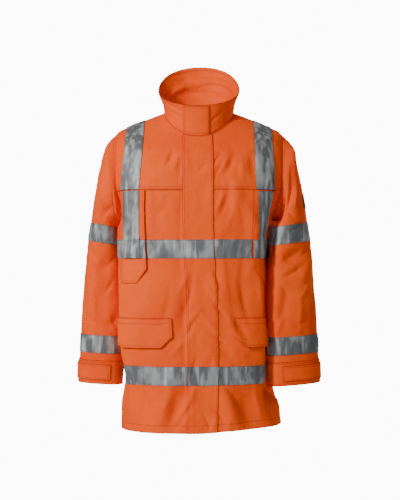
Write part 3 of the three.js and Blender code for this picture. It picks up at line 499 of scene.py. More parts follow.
def raised(tree, height, distance, strength, under=None):
    feeds = {"Height": height, "Distance": distance, "Strength": strength}
    if under is not None:
        feeds["Normal"] = under
    return node(tree, "ShaderNodeBump", feeds)[0]


def new_finish(name, **sockets):
    material = bpy.data.materials.new(name)
    material.use_nodes = True
    shader = material.node_tree.nodes["Principled BSDF"]
    for socket, value in sockets.items():
        shader.inputs[socket.replace("_", " ")].default_value = value
    return material, material.node_tree, shader


ORANGE_DEEP, ORANGE_BRIGHT = (0.84, 0.060, 0.0015, 1), (0.96, 0.108, 0.003, 1)
# The colour of the painted shade and wear at seams, edges and stitch grooves.
ORANGE_PAINTED_SHADE_AND_WEAR = (0.34, 0.014, 0.001, 1)


def orange_cloth(name, deep=ORANGE_DEEP, bright=ORANGE_BRIGHT):
    """Coated orange polyester: woven threads, faint mottling, fine crinkles, a dull sheen, and painted shade,
    with some wear, along its seams, edges and stitch grooves.
    """
    material, tree, shader = new_finish(name, Specular_IOR_Level=0.08, Sheen_Weight=0.02,
                                        Sheen_Roughness=0.42, Sheen_Tint=(1.0, 0.45, 0.20, 1))
    places = node(tree, "ShaderNodeTexCoord")
    chart, solid = places["UV"], places["Object"]
    weave = woven(tree, chart, 0.0009)
    cloudy = soft_noise(tree, solid, 7.0, 4.0)
    flecks = soft_noise(tree, solid, 420.0, 2.0)
    shade = math_node(tree, "ADD", ranged(tree, cloudy, 0.3, 0.7, 0.05, 0.75),
                      math_node(tree, "MULTIPLY", math_node(tree, "ADD", weave, flecks), 0.16))
    # Painted shade and wear: the cloth is painted darker in its stitch grooves, along its edges and on its
    # rims.
    painted_shade_and_wear = node(tree, "ShaderNodeAttribute", attribute_name="painted_shade_and_wear")["Fac"]
    cloth_colour = mixed_colours(tree, painted_shade_and_wear, mixed_colours(tree, shade, deep, bright), ORANGE_PAINTED_SHADE_AND_WEAR)
    tree.links.new(cloth_colour, shader.inputs["Base Color"])
    blotches = soft_noise(tree, solid, 26.0, 4.0)
    tree.links.new(ranged(tree, blotches, 0.3, 0.7, 0.46, 0.66), shader.inputs["Roughness"])
    crinkle = raised(tree, soft_noise(tree, solid, 60.0, 4.0, 0.6), 0.0022, 0.35)
    threads = raised(tree, weave, 0.00025, 0.35, crinkle)
    tree.links.new(threads, shader.inputs["Normal"])
    return material


ORANGE = orange_cloth("orange_coated_cloth")


def thread_finish(name, dark, light):
    material, tree, shader = new_finish(name, Roughness=0.55, Sheen_Weight=0.2, Sheen_Roughness=0.4,
                                        Specular_IOR_Level=0.4)
    solid = node(tree, "ShaderNodeTexCoord")["Object"]
    tree.links.new(mixed_colours(tree, soft_noise(tree, solid, 300.0), dark, light),
                   shader.inputs["Base Color"])
    twisted = node(tree, "ShaderNodeTexWave", {"Vector": solid, "Scale": 900.0, "Distortion": 1.0},
                   bands_direction="DIAGONAL")["Fac"]
    tree.links.new(raised(tree, twisted, 0.0001, 0.4), shader.inputs["Normal"])
    return material


ORANGE_THREAD = thread_finish("orange_thread", (0.50, 0.050, 0.008, 1), (0.70, 0.085, 0.014, 1))
STITCH = {"pitch": 3.5, "long": 2.9, "wide": 0.62, "high": 0.5}
# One stitch: places along, across and up, as shares of its length, width and height.
STITCH_FORM = np.array([(-0.5, 0, -0.6), (-0.3, -0.5, 0), (-0.3, 0, 0.5), (-0.3, 0.5, 0), (-0.3, 0, -0.6),
                        (0.3, -0.5, 0), (0.3, 0, 0.5), (0.3, 0.5, 0), (0.3, 0, -0.6), (0.5, 0, -0.6)])
STITCH_FACES = ([(0, 2, 1), (0, 3, 2), (0, 4, 3), (0, 1, 4), (9, 5, 6), (9, 6, 7), (9, 7, 8), (9, 8, 5)]
                + [(1, 2, 6, 5), (2, 3, 7, 6), (3, 4, 8, 7), (4, 1, 5, 8)])


def stitches(name, lines, look=ORANGE_THREAD):
    """Rows of lock stitches along lines of points."""
    vertices = []
    for points, outs, closed in lines:
        if closed:
            points, outs = np.vstack([points, points[:1]]), np.vstack([outs, outs[:1]])
        read = lengths(points)
        count = int(read[-1] / STITCH["pitch"])
        if count < 1:
            continue
        at = (np.arange(count) + 0.5) * read[-1] / count
        centre, out, ahead = (np.stack([np.interp(at + step, read, part[:, k]) for k in range(3)], axis=-1)
                              for part, step in ((points, 0), (outs, 0), (points, 0.6)))
        along = unit(ahead - np.stack([np.interp(at - 0.6, read, points[:, k]) for k in range(3)], axis=-1))
        aside = unit(np.cross(out, along))
        form = STITCH_FORM * [STITCH["long"], STITCH["wide"], STITCH["high"]]
        vertices.append(centre[:, None] + form[None, :, :1] * along[:, None]
                        + form[None, :, 1:2] * aside[:, None] + form[None, :, 2:] * out[:, None])
    vertices = np.concatenate(vertices)
    faces = [tuple(len(STITCH_FORM) * stitch + corner for corner in face)
             for stitch in range(len(vertices)) for face in STITCH_FACES]
    mesh = bpy.data.meshes.new(name)
    mesh.from_pydata((vertices.reshape(-1, 3) / 1000).tolist(), [], faces)
    mesh.polygons.foreach_set("use_smooth", np.ones(len(mesh.polygons), dtype=bool))
    added(name, mesh, look)


def fit(made, replaced, thread=ORANGE_THREAD):
    """Puts a sewn piece in place of its solid, and stitches it."""
    piece, rows = made
    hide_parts(replaced)
    if rows:
        seams = piece.name.replace("panel", "stitching").replace("cloth", "stitching")
        stitches(seams if "stitching" in seams else f"{seams}_stitching", rows, thread)


DIP = -0.9


def dipped(shape, foot=0.0, head=0.0, start=0.0, end=0.0):
    """How far a panel's edges dip into its seams, or stand proud of them."""
    face = np.zeros(shape)
    face[0] += foot
    face[-1] += head
    face[:, 0] += start
    face[:, -1] += end
    return face


BODY_LEVELS = np.concatenate([steps(HEM, ARMPIT)[:-1], ARMHOLE_LEVELS, steps(SHOULDER_TIP, NECK)[1:]])
PANEL_STEPS = {"back": 120, "front": 56}


def back_edge(level):
    return 90 + side_seam_turn(level) + ARMHOLE["back"] * armhole_share(level)


across = np.linspace(0, 1, PANEL_STEPS["back"] + 1)
edge = back_edge(BODY_LEVELS)[:, None]
back_turns = edge + (360 - 2 * edge) * across
back_spots = body_spot(back_turns, BODY_LEVELS[:, None])
fit(sew("back_panel", back_spots, dipped(back_turns.shape, start=DIP, end=DIP), SHELL_CLOTH, ORANGE,
        foot=[20]), "back")

# The fronts. One panel each side below the yoke, of the same cloth, from the zip to the side seam and the
# armhole; the side seams are joined inside and the hem is turned up with one row of stitches.
FRONT_EDGE = 5
MEASURED = np.arange(0, 181, 1.5)


def turn_at(rings, place, run):
    """The angle at which a tape measure laid round from the centre front reads run, on either side."""
    place, run = np.broadcast_arrays(np.asarray(place, float), np.asarray(run, float))
    levels, which = np.unique(place, return_inverse=True)
    which = which.reshape(place.shape)
    ring = rings_at(rings, levels)
    turn = np.zeros(place.shape)
    for side in (-1, 1):
        points = ring_point(ring[:, None, :], side * MEASURED[None, :])
        read = np.cumsum(np.linalg.norm(np.diff(points, axis=1), axis=-1), axis=1)
        for i in range(len(levels)):
            here = (which == i) & (np.sign(run) == side)
            if here.any():
                turn[here] = side * np.interp(np.abs(run[here]), np.concatenate([[0], read[i]]), MEASURED)
    return turn


def front_edge(level):
    return 90 - side_seam_turn(level) - ARMHOLE["front"] * armhole_share(level)


SIDES = {"right": -1, "left": 1}
across = np.linspace(0, 1, PANEL_STEPS["front"] + 1)
for name, side in SIDES.items():
    levels = np.concatenate([BODY_LEVELS[BODY_LEVELS < YOKE - 2], [YOKE - SEAM / 2]])[:, None]
    inner, outer = turn_at(BODY_RINGS, levels, side * FRONT_EDGE), side * front_edge(levels)
    turns = inner + (outer - inner) * across
    fit(sew(f"front_panel_{name}", body_spot(turns, levels), dipped(turns.shape, head=DIP, end=DIP),
            SHELL_CLOTH, ORANGE, foot=[20]), f"front_{name}")

# The yokes. One panel each side from the chest seam to the shoulder and the neck, of the same cloth, lapped
# over the front below it and held by two rows of stitches.
for name, side in SIDES.items():
    levels = np.concatenate([[YOKE + SEAM / 2], BODY_LEVELS[BODY_LEVELS > YOKE + 2]])[:, None]
    inner, outer = turn_at(BODY_RINGS, levels, side * FRONT_EDGE), side * front_edge(levels)
    turns = inner + (outer - inner) * across
    fit(sew(f"yoke_panel_{name}", body_spot(turns, levels), dipped(turns.shape, foot=0.5, end=DIP),
            SHELL_CLOTH, ORANGE, foot=[2, 7]), f"yoke_{name}")

# The zip. A closed coil of plastic teeth on woven orange tape, sewn behind the edges of the fronts and
# hidden by the flaps over it.
ZIP = {"half": 14, "foot": 12, "tape": 1.0, "behind": 0.9, "top": 0.87, "tooth": (2.4, 1.5, 1.3),
       "pitch": 2.8}
COLLAR_CLOTH = 3.0
COLLAR_RINGS = [
    # up, then the columns of the body's rings
    (0, 0, -72, 12, 97, 97, 96, 84, 2.2, 1.6, 0, 0, -1, 0),
    (0.35, 20, -45, 58, 99, 99, 98, 86, 2.2, 1.4, 0, 0, -1, 0),
    (0.7, 42, -18, 103, 106, 106, 103, 91, 2.2, 1.2, 0, 0, -1, 0),
    (1, 62, 7, 142, 114, 114, 109, 99, 2.2, 1.05, 0, 0, -1, 0),
]
# Creases of the collar: turn, place up it in mm, lean, length, width, height, skew, bend.
COLLAR_CREASES = [
    (150, 70, 84, 190, 7, -4.2, 0.4, 8), (196, 84, 97, 170, 7, 3.8, 0.4, -6),
    (212, 56, 84, 160, 7, -4.0, 0.4, 6), (170, 42, 92, 200, 7, 3.6, 0.4, 6),
    (205, 70, 104, 110, 6, 3.2, 0.4, -4), (330, 50, 60, 90, 8, -1.8, 0.3, 6),
    (318, 84, 80, 90, 5, -2.2, 0.4, 0), (30, 60, -50, 80, 8, -1.6, 0.3, 4),
    (62, 50, -70, 100, 9, 2.0, 0.3, 4), (262, 56, 75, 130, 9, -2.2, 0.3, 4),
    (98, 66, 104, 130, 9, -2.2, 0.3, 4),
]
COLLAR_HEIGHT, COLLAR_MM_PER_DEGREE = 100, 1.75


def collar_form(turn, place):
    bare = ring_point(rings_at(COLLAR_RINGS, place / COLLAR_HEIGHT), wrap(turn))
    height = fold_heights(COLLAR_CREASES, wrap(turn) % 360, place, COLLAR_MM_PER_DEGREE)
    return bare, (height + small_creases(bare, 0.6)) * eased(place, 2, 22)


def collar_spot(turn, up):
    """Points of the collar and the directions out of it, by angle and share of its height."""
    turn, up = np.broadcast_arrays(np.asarray(turn, float), np.asarray(up, float) * COLLAR_HEIGHT)
    return folded_spot(collar_form, turn, up, 0, COLLAR_HEIGHT)


levels = steps(HEM + ZIP["foot"], -3)[:, None]
ups = steps(8, ZIP["top"] * 100, 4)[:, None] / 100
runs = steps(-ZIP["half"], ZIP["half"], 3.5)
runs = runs[np.abs(runs) > 0.1] if len(runs) % 2 else runs
on_body = body_spot(turn_at(BODY_RINGS, levels, runs), levels)
on_collar = collar_spot(turn_at(COLLAR_RINGS, ups, runs), ups)
zip_spots = [np.concatenate(pair) for pair in zip(on_body, on_collar)]
drop = np.concatenate([np.full(len(levels), SHELL_CLOTH + ZIP["behind"]),
                       np.full(len(ups), COLLAR_CLOTH + 0.6)])
drop[len(levels) - 1] += 3
zip_tape_finish = orange_cloth("orange_zip_tape", (0.5, 0.05, 0.01, 1), (0.7, 0.09, 0.016, 1))
fit(sew("zip_tape", zip_spots, -drop[:, None], ZIP["tape"], zip_tape_finish), "zip")
levels = np.arange(HEM + ZIP["foot"] + 3, -6, ZIP["pitch"])
teeth, faces = [], []
TOOTH_CORNERS = [(-1, -1, -1), (1, -1, -1), (1, 1, -1), (-1, 1, -1),
                 (-0.7, -0.7, 1), (0.7, -0.7, 1), (0.7, 0.7, 1), (-0.7, 0.7, 1)]
BLOCK = [(0, 3, 2, 1), (4, 5, 6, 7), (0, 1, 5, 4), (1, 2, 6, 5), (2, 3, 7, 6), (3, 0, 4, 7)]
for side in (-1, 1):
    at = levels + (ZIP["pitch"] / 2 if side > 0 else 0)
    points, outs = body_spot(turn_at(BODY_RINGS, at, side * 1.3), at)
    centre = points - outs * (SHELL_CLOTH + 0.1)
    ahead = unit(np.gradient(points, axis=0))
    aside = np.cross(outs, ahead)
    for x, y, z in TOOTH_CORNERS:
        wide, long, deep = (size / 2 for size in ZIP["tooth"])
        teeth.append(centre + aside * (x * wide) + ahead * (y * long) + outs * (z * deep))
    start = 0 if side < 0 else len(TOOTH_CORNERS) * len(levels)
    faces += [tuple(start + corner * len(levels) + tooth for corner in face)
              for tooth in range(len(levels)) for face in BLOCK]
mesh = bpy.data.meshes.new("zip_teeth")
mesh.from_pydata((np.concatenate(teeth) / 1000).tolist(), [], faces)
tooth_finish, tree, shader = new_finish("moulded_zip_plastic", Specular_IOR_Level=0.5)
solid = node(tree, "ShaderNodeTexCoord")["Object"]
tooth_colour = mixed_colours(tree, soft_noise(tree, solid, 200.0), (0.55, 0.06, 0.01, 1),
                             (0.7, 0.1, 0.016, 1))
tree.links.new(tooth_colour, shader.inputs["Base Color"])
tree.links.new(ranged(tree, soft_noise(tree, solid, 90.0), 0.3, 0.7, 0.3, 0.45), shader.inputs["Roughness"])
added("zip_teeth", mesh, tooth_finish)

# The storm flap. A double strip of the same cloth that covers the zip from the hem to the neck, sewn to the
# wearer's left front and free on the right, with stitches along both edges.
FLAP_CLOTH = 2.4
STORM = {"free": 42, "sewn": 38, "top": -2, "lift": 1.4}
levels = steps(HEM, STORM["top"], 4.5)[:, None]
runs = steps(-STORM["free"], STORM["sewn"], 4)
storm_spots = body_spot(turn_at(BODY_RINGS, levels, runs), levels)
STORM_FACE = SEAM + FLAP_CLOTH


def storm_face(level, run):
    """The flap's face above the fronts: it stands off a little, unevenly, along its free edge."""
    place = np.stack(np.broadcast_arrays(level * 1.0, 0.0 * run, 0.0 * run), axis=-1)
    loose = 1 - eased(run, -STORM["free"], -STORM["free"] + 26)
    return STORM_FACE + loose * (STORM["lift"] + 2.0 * crumple(place, (38, 50, 50)))


fit(sew("storm_flap_cloth", storm_spots, storm_face(levels, runs), FLAP_CLOTH, ORANGE, foot=[20], start=[5],
        end=[3]), "storm_flap")

# The collar. A stand-up collar of two layers with a stiffener between, sewn to the neck edge all round and
# stitched along its rim and its foot.
COLLAR = {"opening": 1, "steps": 150, "rows": 34}
ups = np.linspace(0, 1, COLLAR["rows"] + 1)[:, None]
first = turn_at(COLLAR_RINGS, ups, COLLAR["opening"])
last = 360 + turn_at(COLLAR_RINGS, ups, -COLLAR["opening"])
turns = first + (last - first) * np.linspace(0, 1, COLLAR["steps"] + 1)
points, outs = collar_spot(turns, ups)
points[0] += unit(points[1] - points[0]) * 3 * SEAM
outs[0] = outs[1]
fit(sew("collar_cloth", (points, outs), dipped(turns.shape, foot=-0.4), COLLAR_CLOTH, ORANGE, foot=[4],
        head=[6]), "collar")

# The collar's flap. A double piece of the same cloth that carries the storm flap up over the collar's
# front, sewn on the wearer's left and stitched along its other edges.
COLLAR_FLAP = {"free": 40, "sewn": 30, "low": 0.0, "high": 0.97, "lift": 1.2}
ups = np.linspace(COLLAR_FLAP["low"], COLLAR_FLAP["high"], 20)[:, None]
runs = steps(-COLLAR_FLAP["free"], COLLAR_FLAP["sewn"], 4) + 0.01  # clear of the centre line itself
spots = collar_spot(turn_at(COLLAR_RINGS, ups, runs), ups)
loose = 1 - eased(runs, -COLLAR_FLAP["free"], -COLLAR_FLAP["free"] + 22)
fit(sew("collar_flap_cloth", spots, STORM_FACE + SEAM + COLLAR_FLAP["lift"] * loose, FLAP_CLOTH, ORANGE,
        foot=[4], head=[4], start=[5], end=[3]), "collar_flap")

# The chest pocket flaps. A double piece of the same cloth over each upright pocket, sewn under the yoke and
# at its outer edge, and stitched along its free edge and its slanted corner.
FLAP_HEIGHTS = {"chest low": -470, "hip low": -642, "hip high": -564}
CHEST_FLAP = {"inner": 145, "outer": 222, "bevel": 36, "bevel run": 30, "swell": 2.5, "gape": 1.6}


def chest_flap_face(run, level):
    """The flap's face above the front: it swells and gapes along its free edge, most of all low down."""
    free = 1 - eased(run, CHEST_FLAP["inner"], CHEST_FLAP["inner"] + CHEST_FLAP["bevel run"])
    return STORM_FACE + free * (CHEST_FLAP["swell"] + CHEST_FLAP["gape"] * eased(-level, 240, 420))


corner = CHEST_FLAP["inner"] + CHEST_FLAP["bevel run"]
flap_runs = np.concatenate([steps(CHEST_FLAP["inner"], corner, 3.5)[:-1],
                            steps(corner, CHEST_FLAP["outer"], 4.5)])
for name, side in SIDES.items():
    low = FLAP_HEIGHTS["chest low"] + CHEST_FLAP["bevel"] * np.maximum(
        0, 1 - (flap_runs - CHEST_FLAP["inner"]) / CHEST_FLAP["bevel run"])
    levels = low + (YOKE - 2 - low) * np.linspace(0, 1, 60)[:, None]
    spots = body_spot(turn_at(BODY_RINGS, levels, side * flap_runs), levels)
    fit(sew(f"chest_flap_cloth_{name}", spots, chest_flap_face(flap_runs, levels), FLAP_CLOTH, ORANGE,
            foot=[5], start=[5], end=[2, 7]), f"chest_flap_{name}")

# The hip pocket flaps. A double piece of the same cloth over each hip pocket, sewn on along its top with two
# rows of stitches; it hangs free below, with a slanted corner at each end.
HIP_FLAP = {"inner": 85, "outer": 222, "bevel": 28, "bevel run": 30, "far bevel": 0.6, "swell": 4.0}
for name, side in SIDES.items():
    corner = HIP_FLAP["inner"] + HIP_FLAP["bevel run"]
    places = np.concatenate([steps(HIP_FLAP["inner"], corner, 3.5)[:-1],
                             steps(corner, HIP_FLAP["outer"], 5)[:-1],
                             HIP_FLAP["outer"] + np.linspace(0, 1, 8)])
    run = np.minimum(places, HIP_FLAP["outer"])
    beyond = places - run
    low = (FLAP_HEIGHTS["hip low"] + HIP_FLAP["bevel"] * np.maximum(0, 1 - (run - HIP_FLAP["inner"])
                                                                    / HIP_FLAP["bevel run"])
           + HIP_FLAP["bevel"] * HIP_FLAP["far bevel"] * beyond)
    levels = low + (FLAP_HEIGHTS["hip high"] - low) * np.linspace(0, 1, 20)[:, None]
    turns = turn_at(BODY_RINGS, levels, side * run)
    turns = turns + (side * front_edge(levels) - turns) / 3 * beyond
    face = STORM_FACE + 2 * SEAM + HIP_FLAP["swell"] * (
        1 - eased(levels, FLAP_HEIGHTS["hip low"], FLAP_HEIGHTS["hip high"])) * np.ones_like(turns)
    fit(sew(f"hip_flap_cloth_{name}", body_spot(turns, levels), face, FLAP_CLOTH, ORANGE, foot=[5],
            head=[2, 14], start=[5], end=[5]), f"hip_flap_{name}")

# The sleeves. One tube of the same cloth each, set into the armhole and joined along the inside of the arm,
# with room at the elbow that falls in slanting folds.
SLEEVE_RINGS = [
    # down, inner x, inner z, outer x, outer z, front, back
    (45, 218, -304, 258, -92, 85, 89),
    (95, 220, -307, 277, -165, 83, 88),
    (150, 220, -311, 292, -240, 78, 86),
    (205, 218, -320, 302, -306, 72, 82),
    (255, 214, -370, 310, -356, 66, 78),
    (345, 209, -459, 319, -446, 60, 72),
    (445, 205, -558, 326, -547, 55, 66),
    (508, 205, -621, 330, -614, 52, 62),
    (558, 206, -671, 333, -664, 49, 58),
    (590, 207, -703, 334, -696, 47, 55),
    (645, 210, -755, 336, -748, 44, 51),
]
# How far each sleeve is set back, and its inner side let out and swung to the front.
HANG = {-1: (15, -6, 0), 1: (0, 20, 48)}
HANG_FROM, HANG_FULL = 45, 255
SLEEVE_SQUARE, SLEEVE_MM_PER_DEGREE = 2.3, 1.15
SLEEVE = {"end": 588, "foot": 645}
LARGE_SLEEVE_FOLDS = {
    1: [(100, 90, 40, 120, 15, -6), (130, 62, 50, 130, 15, 5), (6, 178, 0, 200, 23, 8),
        (90, 292, 58, 100, 16, -6), (128, 330, 30, 150, 18, 4), (76, 420, 10, 190, 16, -4),
        (250, 300, -50, 130, 18, -5), (230, 440, -40, 110, 18, -4)],
    -1: [(70, 110, -26, 120, 14, -5), (74, 310, -50, 120, 16, -5), (60, 470, -60, 80, 14, -4),
         (110, 380, -12, 190, 20, 4), (250, 300, 50, 130, 18, -5), (230, 430, 40, 110, 18, -4)],
}
# Creases of a sleeve: turn, place down it, lean, length, width, height, skew, bend.
SLEEVE_CREASES = [
    (66, 66, 44, 100, 8, -2.6, 0.3, 6), (112, 118, 26, 120, 8, 2.2, 0.3, 4),
    (84, 150, -22, 110, 8, -2.2, 0.3, 4), (100, 218, 58, 90, 8, -1.6, 0.3, 4),
    (132, 276, 46, 110, 8, -2.6, 0.4, 6), (62, 292, -48, 90, 8, 2.4, 0.4, 4),
    (92, 334, 60, 100, 7, -2.8, 0.4, 6), (120, 384, 38, 110, 8, 2.2, 0.3, 6),
    (70, 376, -40, 90, 7, -2.2, 0.3, 4), (104, 452, 4, 150, 9, 2.0, 0.3, 0),
    (142, 430, 10, 160, 9, -2.2, 0.3, 0), (62, 476, 28, 90, 8, 2.0, 0.3, 0),
    (112, 470, 58, 80, 7, -1.8, 0.3, 4), (196, 190, 10, 170, 10, -2.0, 0.2, 0),
    (240, 150, -30, 130, 9, 2.4, 0.3, 4), (262, 258, 42, 110, 8, -2.6, 0.4, 6),
    (288, 300, -42, 110, 8, -2.8, 0.4, 6), (240, 344, 50, 120, 8, 2.4, 0.3, 4),
    (272, 382, -50, 100, 8, -2.4, 0.3, 4), (302, 428, 30, 120, 9, 2.2, 0.3, 0),
    (222, 470, -20, 140, 9, -2.0, 0.3, 0), (182, 322, 10, 160, 10, -1.8, 0.2, 0),
    (332, 210, 0, 150, 10, 2.0, 0.2, 0), (22, 262, 20, 150, 9, -2.4, 0.3, 0),
    (346, 410, 10, 170, 10, 2.0, 0.2, 0), (286, 100, -20, 110, 9, -2.2, 0.3, 4),
]


def armhole_spot(side, turn):
    level = ARMPIT + (SHOULDER_TIP - ARMPIT) * (1 - np.cos(np.radians(turn))) / 2
    swing = np.sin(np.radians(turn))
    away = np.where(swing >= 0, -ARMHOLE["front"], ARMHOLE["back"]) * np.abs(swing) ** ARMHOLE["fullness"]
    return body_spot(side * (90 + away), level)


def sleeve_start(side, turn):
    point, out = armhole_spot(side, turn)
    along = armhole_spot(side, turn + 2)[0] - armhole_spot(side, turn - 2)[0]
    beyond = side * np.cross(out, unit(along))
    beyond *= np.where(beyond[..., :1] * side < 0, -1, 1)
    return point + beyond * SEAM, out


def sleeve_rings(side, turn):
    """The points of every ring of a sleeve at some turns, from the armpit by the front over the top."""
    set_back, let_out, swing = HANG[side]
    down, in_x, in_z, out_x, out_z, front, back = np.array(SLEEVE_RINGS, float).T[..., None]
    share = eased(down, HANG_FROM, HANG_FULL)
    spread = [np.sign(value) * np.abs(value) ** (2 / SLEEVE_SQUARE)
              for value in (np.cos(np.radians(turn)), np.sin(np.radians(turn)))]
    outward = (1 - spread[0]) / 2
    x = side * (in_x - let_out * share + (out_x - in_x + let_out * share) * outward)
    y = np.where(spread[1] >= 0, -front * spread[1], -back * spread[1]) + (
        set_back - swing * (1 - outward)) * share
    return np.stack([x, y, in_z + (out_z - in_z) * outward], axis=-1)


SLEEVE_DOWNS = [0] + [row[0] for row in SLEEVE_RINGS]


def sleeve_spot(side, downs, turns):
    """Points of a sleeve and the directions out of it, in rows down the arm."""
    def form(around, at):
        rows = np.concatenate([sleeve_start(side, around)[0][None], sleeve_rings(side, around)])
        bare = between_rows(SLEEVE_DOWNS, rows, at)
        height = fold_heights(LARGE_SLEEVE_FOLDS[side] + SLEEVE_CREASES, around[None, :] % 360, at[:, None],
                              SLEEVE_MM_PER_DEGREE) + small_creases(bare, 0.85)
        return bare, height * eased(at, 8, 60)[:, None] * (1 - 0.6 * eased(at, 570, 600)[:, None])

    downs, turns = np.asarray(downs, float), np.asarray(turns, float)
    points, outs = folded_spot(form, turns, downs, 0.1, SLEEVE["foot"], -side)
    if downs[0] == 0:
        points[0], outs[0] = sleeve_start(side, turns)
    return points, outs


round_turns = np.linspace(0, 360, 2 * ARMHOLE["steps"] + 1)[:-1]
for name, side in SIDES.items():
    downs = np.concatenate([[0], steps(2.5, SLEEVE["end"], 5)])
    face = np.zeros((len(downs), 1))
    face[0] = DIP
    fit(sew(f"sleeve_cloth_{name}", sleeve_spot(side, downs, round_turns), face, SHELL_CLOTH, ORANGE,
            foot=[6], ringed=True), f"sleeve_{name}")

# The cuffs. A double band of the same cloth round the end of each sleeve, hemmed, with a pointed tab over
# it that is sewn down at the back and closes the cuff at the front.
CUFF = {"top": 578, "face": SEAM + FLAP_CLOTH}
TAB = {"top": 588, "foot": 632, "from": 720 / 11, "to": 2700 / 11}
for name, side in SIDES.items():
    spots = sleeve_spot(side, steps(CUFF["top"], SLEEVE["foot"], 4), round_turns)
    fit(sew(f"cuff_cloth_{name}", spots, CUFF["face"], FLAP_CLOTH, ORANGE, foot=[4], head=[6], ringed=True),
        f"cuff_{name}")
    spots = sleeve_spot(side, steps(TAB["top"], TAB["foot"], 4), steps(TAB["from"], TAB["to"], 4))
    fit(sew(f"cuff_tab_cloth_{name}", spots, CUFF["face"] + 2 * SEAM + FLAP_CLOTH, FLAP_CLOTH, ORANGE,
            foot=[4], head=[4], start=[4], end=[4]), f"cuff_tab_{name}")

# The reflective tape round the body. Silver-grey glass-bead tape 50 mm wide, sewn flat along both edges
# round the chest and above the hem, and cut where it meets a flap or a side seam.
TAPE = {"thick": 1.0, "face": SEAM + 1.0, "wide": 0.05}
# The levels of the foot and the top of each band of tape, in millimetres.
CHEST_TAPE, HEM_TAPE = (-404, -354), (-742, -692)


def reflective_finish():
    """Tiny glass beads on grey cloth: a soft metal gleam that creases turn bright or dark, painted glints of
    light and dark in its colour, and painted shade and wear along its edges.
    """
    material, tree, shader = new_finish("reflective_silver_tape", Metallic=0.22, Specular_IOR_Level=0.4)
    places = node(tree, "ShaderNodeTexCoord")
    solid, chart = places["Object"], places["UV"]
    beads = soft_noise(tree, solid, 1600.0, 1.0)
    leaning = node(tree, "ShaderNodeMapping", {"Vector": solid, "Rotation": (0.0, 0.30, 0.0),
                                               "Scale": (1.0, 1.0, 0.36)})[0]
    upright = node(tree, "ShaderNodeMapping", {"Vector": solid, "Scale": (1.0, 1.0, 0.12)})[0]
    # The blotches and streaks paint glints into the tape's colour as light and dark patches of reflection.
    # The blotches also vary its roughness.
    blotches = soft_noise(tree, leaning, 30.0, 3.0, 0.5)
    painted_glint_streaks = soft_noise(tree, upright, 75.0, 1.0, 0.4)
    shade = math_node(tree, "ADD", ranged(tree, blotches, 0.47, 0.60, 0.08, 0.56),
                      ranged(tree, painted_glint_streaks, 0.56, 0.66, 0.0, 0.5))
    grey = mixed_colours(tree, shade, (0.060, 0.063, 0.065, 1), (0.46, 0.475, 0.48, 1))
    speck = mixed_colours(tree, math_node(tree, "MULTIPLY", beads, 0.25), grey, (0.32, 0.33, 0.335, 1))
    # Painted shade and wear: the tape is painted dark along its edges and in its stitch grooves.
    painted_shade_and_wear = node(tree, "ShaderNodeAttribute", attribute_name="painted_shade_and_wear")["Fac"]
    tree.links.new(mixed_colours(tree, painted_shade_and_wear, speck, (0.07, 0.073, 0.075, 1)), shader.inputs["Base Color"])
    tree.links.new(ranged(tree, blotches, 0.3, 0.7, 0.40, 0.56), shader.inputs["Roughness"])
    buckled = raised(tree, soft_noise(tree, leaning, 26.0, 2.0, 0.45), 0.010, 0.6)
    crinkle = raised(tree, soft_noise(tree, upright, 60.0, 2.0), 0.003, 0.5, buckled)
    grain = raised(tree, beads, 0.00008, 0.35, crinkle)
    tree.links.new(grain, shader.inputs["Normal"])
    return material


SILVER = reflective_finish()
GREY_THREAD = thread_finish("grey_thread", (0.20, 0.205, 0.21, 1), (0.34, 0.35, 0.355, 1))


def tape(name, spots, face, replaced, ringed=False):
    """A length of tape in rows across its width, stiffer than cloth, so it buckles between its stitches."""
    points = spots[0]
    row = np.arange(points.shape[0])
    inside = np.clip(np.minimum(row, row[::-1])[:, None] / 3.0, 0, 1)
    buckled = 2.6 * np.maximum(0, 0.14 + crumple(points, (19, 19, 60)))
    fit(sew(name, spots, face + buckled * inside, TAPE["thick"], SILVER, foot=[2.5], head=[2.5],
            ringed=ringed), replaced,
        GREY_THREAD)


def tape_rows(band):
    return steps(*band, 4)[:, None]


STORM_RUNS = steps(-STORM["free"], STORM["sewn"], 4)
for place, band in (("chest", CHEST_TAPE), ("hem", HEM_TAPE)):
    levels = tape_rows(band)
    tape(f"{place}_band_storm_flap", body_spot(turn_at(BODY_RINGS, levels, STORM_RUNS), levels),
         storm_face(levels, STORM_RUNS) + TAPE["face"], f"{place}_tape_storm_flap")
    edge = back_edge(levels)
    tape(f"{place}_band_back", body_spot(edge + (360 - 2 * edge) * np.linspace(0, 1, 121), levels),
         TAPE["face"], f"{place}_tape_back")
for name, side in SIDES.items():
    start = side * ((STORM["free"] if side < 0 else STORM["sewn"]) + 1)
    levels = tape_rows(HEM_TAPE)
    inner, outer = turn_at(BODY_RINGS, levels, start), side * front_edge(levels)
    tape(f"hem_band_{name}", body_spot(inner + (outer - inner) * np.linspace(0, 1, 50), levels), TAPE["face"],
         f"hem_tape_{name}")
    levels = tape_rows(CHEST_TAPE)
    runs = side * steps(abs(start), CHEST_FLAP["inner"] - 2.5, 4.5)
    tape(f"chest_band_front_{name}", body_spot(turn_at(BODY_RINGS, levels, runs), levels), TAPE["face"],
         f"chest_tape_front_{name}")
    tape(f"chest_band_flap_{name}", body_spot(turn_at(BODY_RINGS, levels, side * flap_runs), levels),
         chest_flap_face(flap_runs, levels) + TAPE["face"], f"chest_tape_flap_{name}")
    inner, outer = turn_at(BODY_RINGS, levels, side * (CHEST_FLAP["outer"] + 2)), side * front_edge(levels)
    tape(f"chest_band_side_{name}", body_spot(inner + (outer - inner) * np.linspace(0, 1, 16), levels),
         TAPE["face"], f"chest_tape_side_{name}")

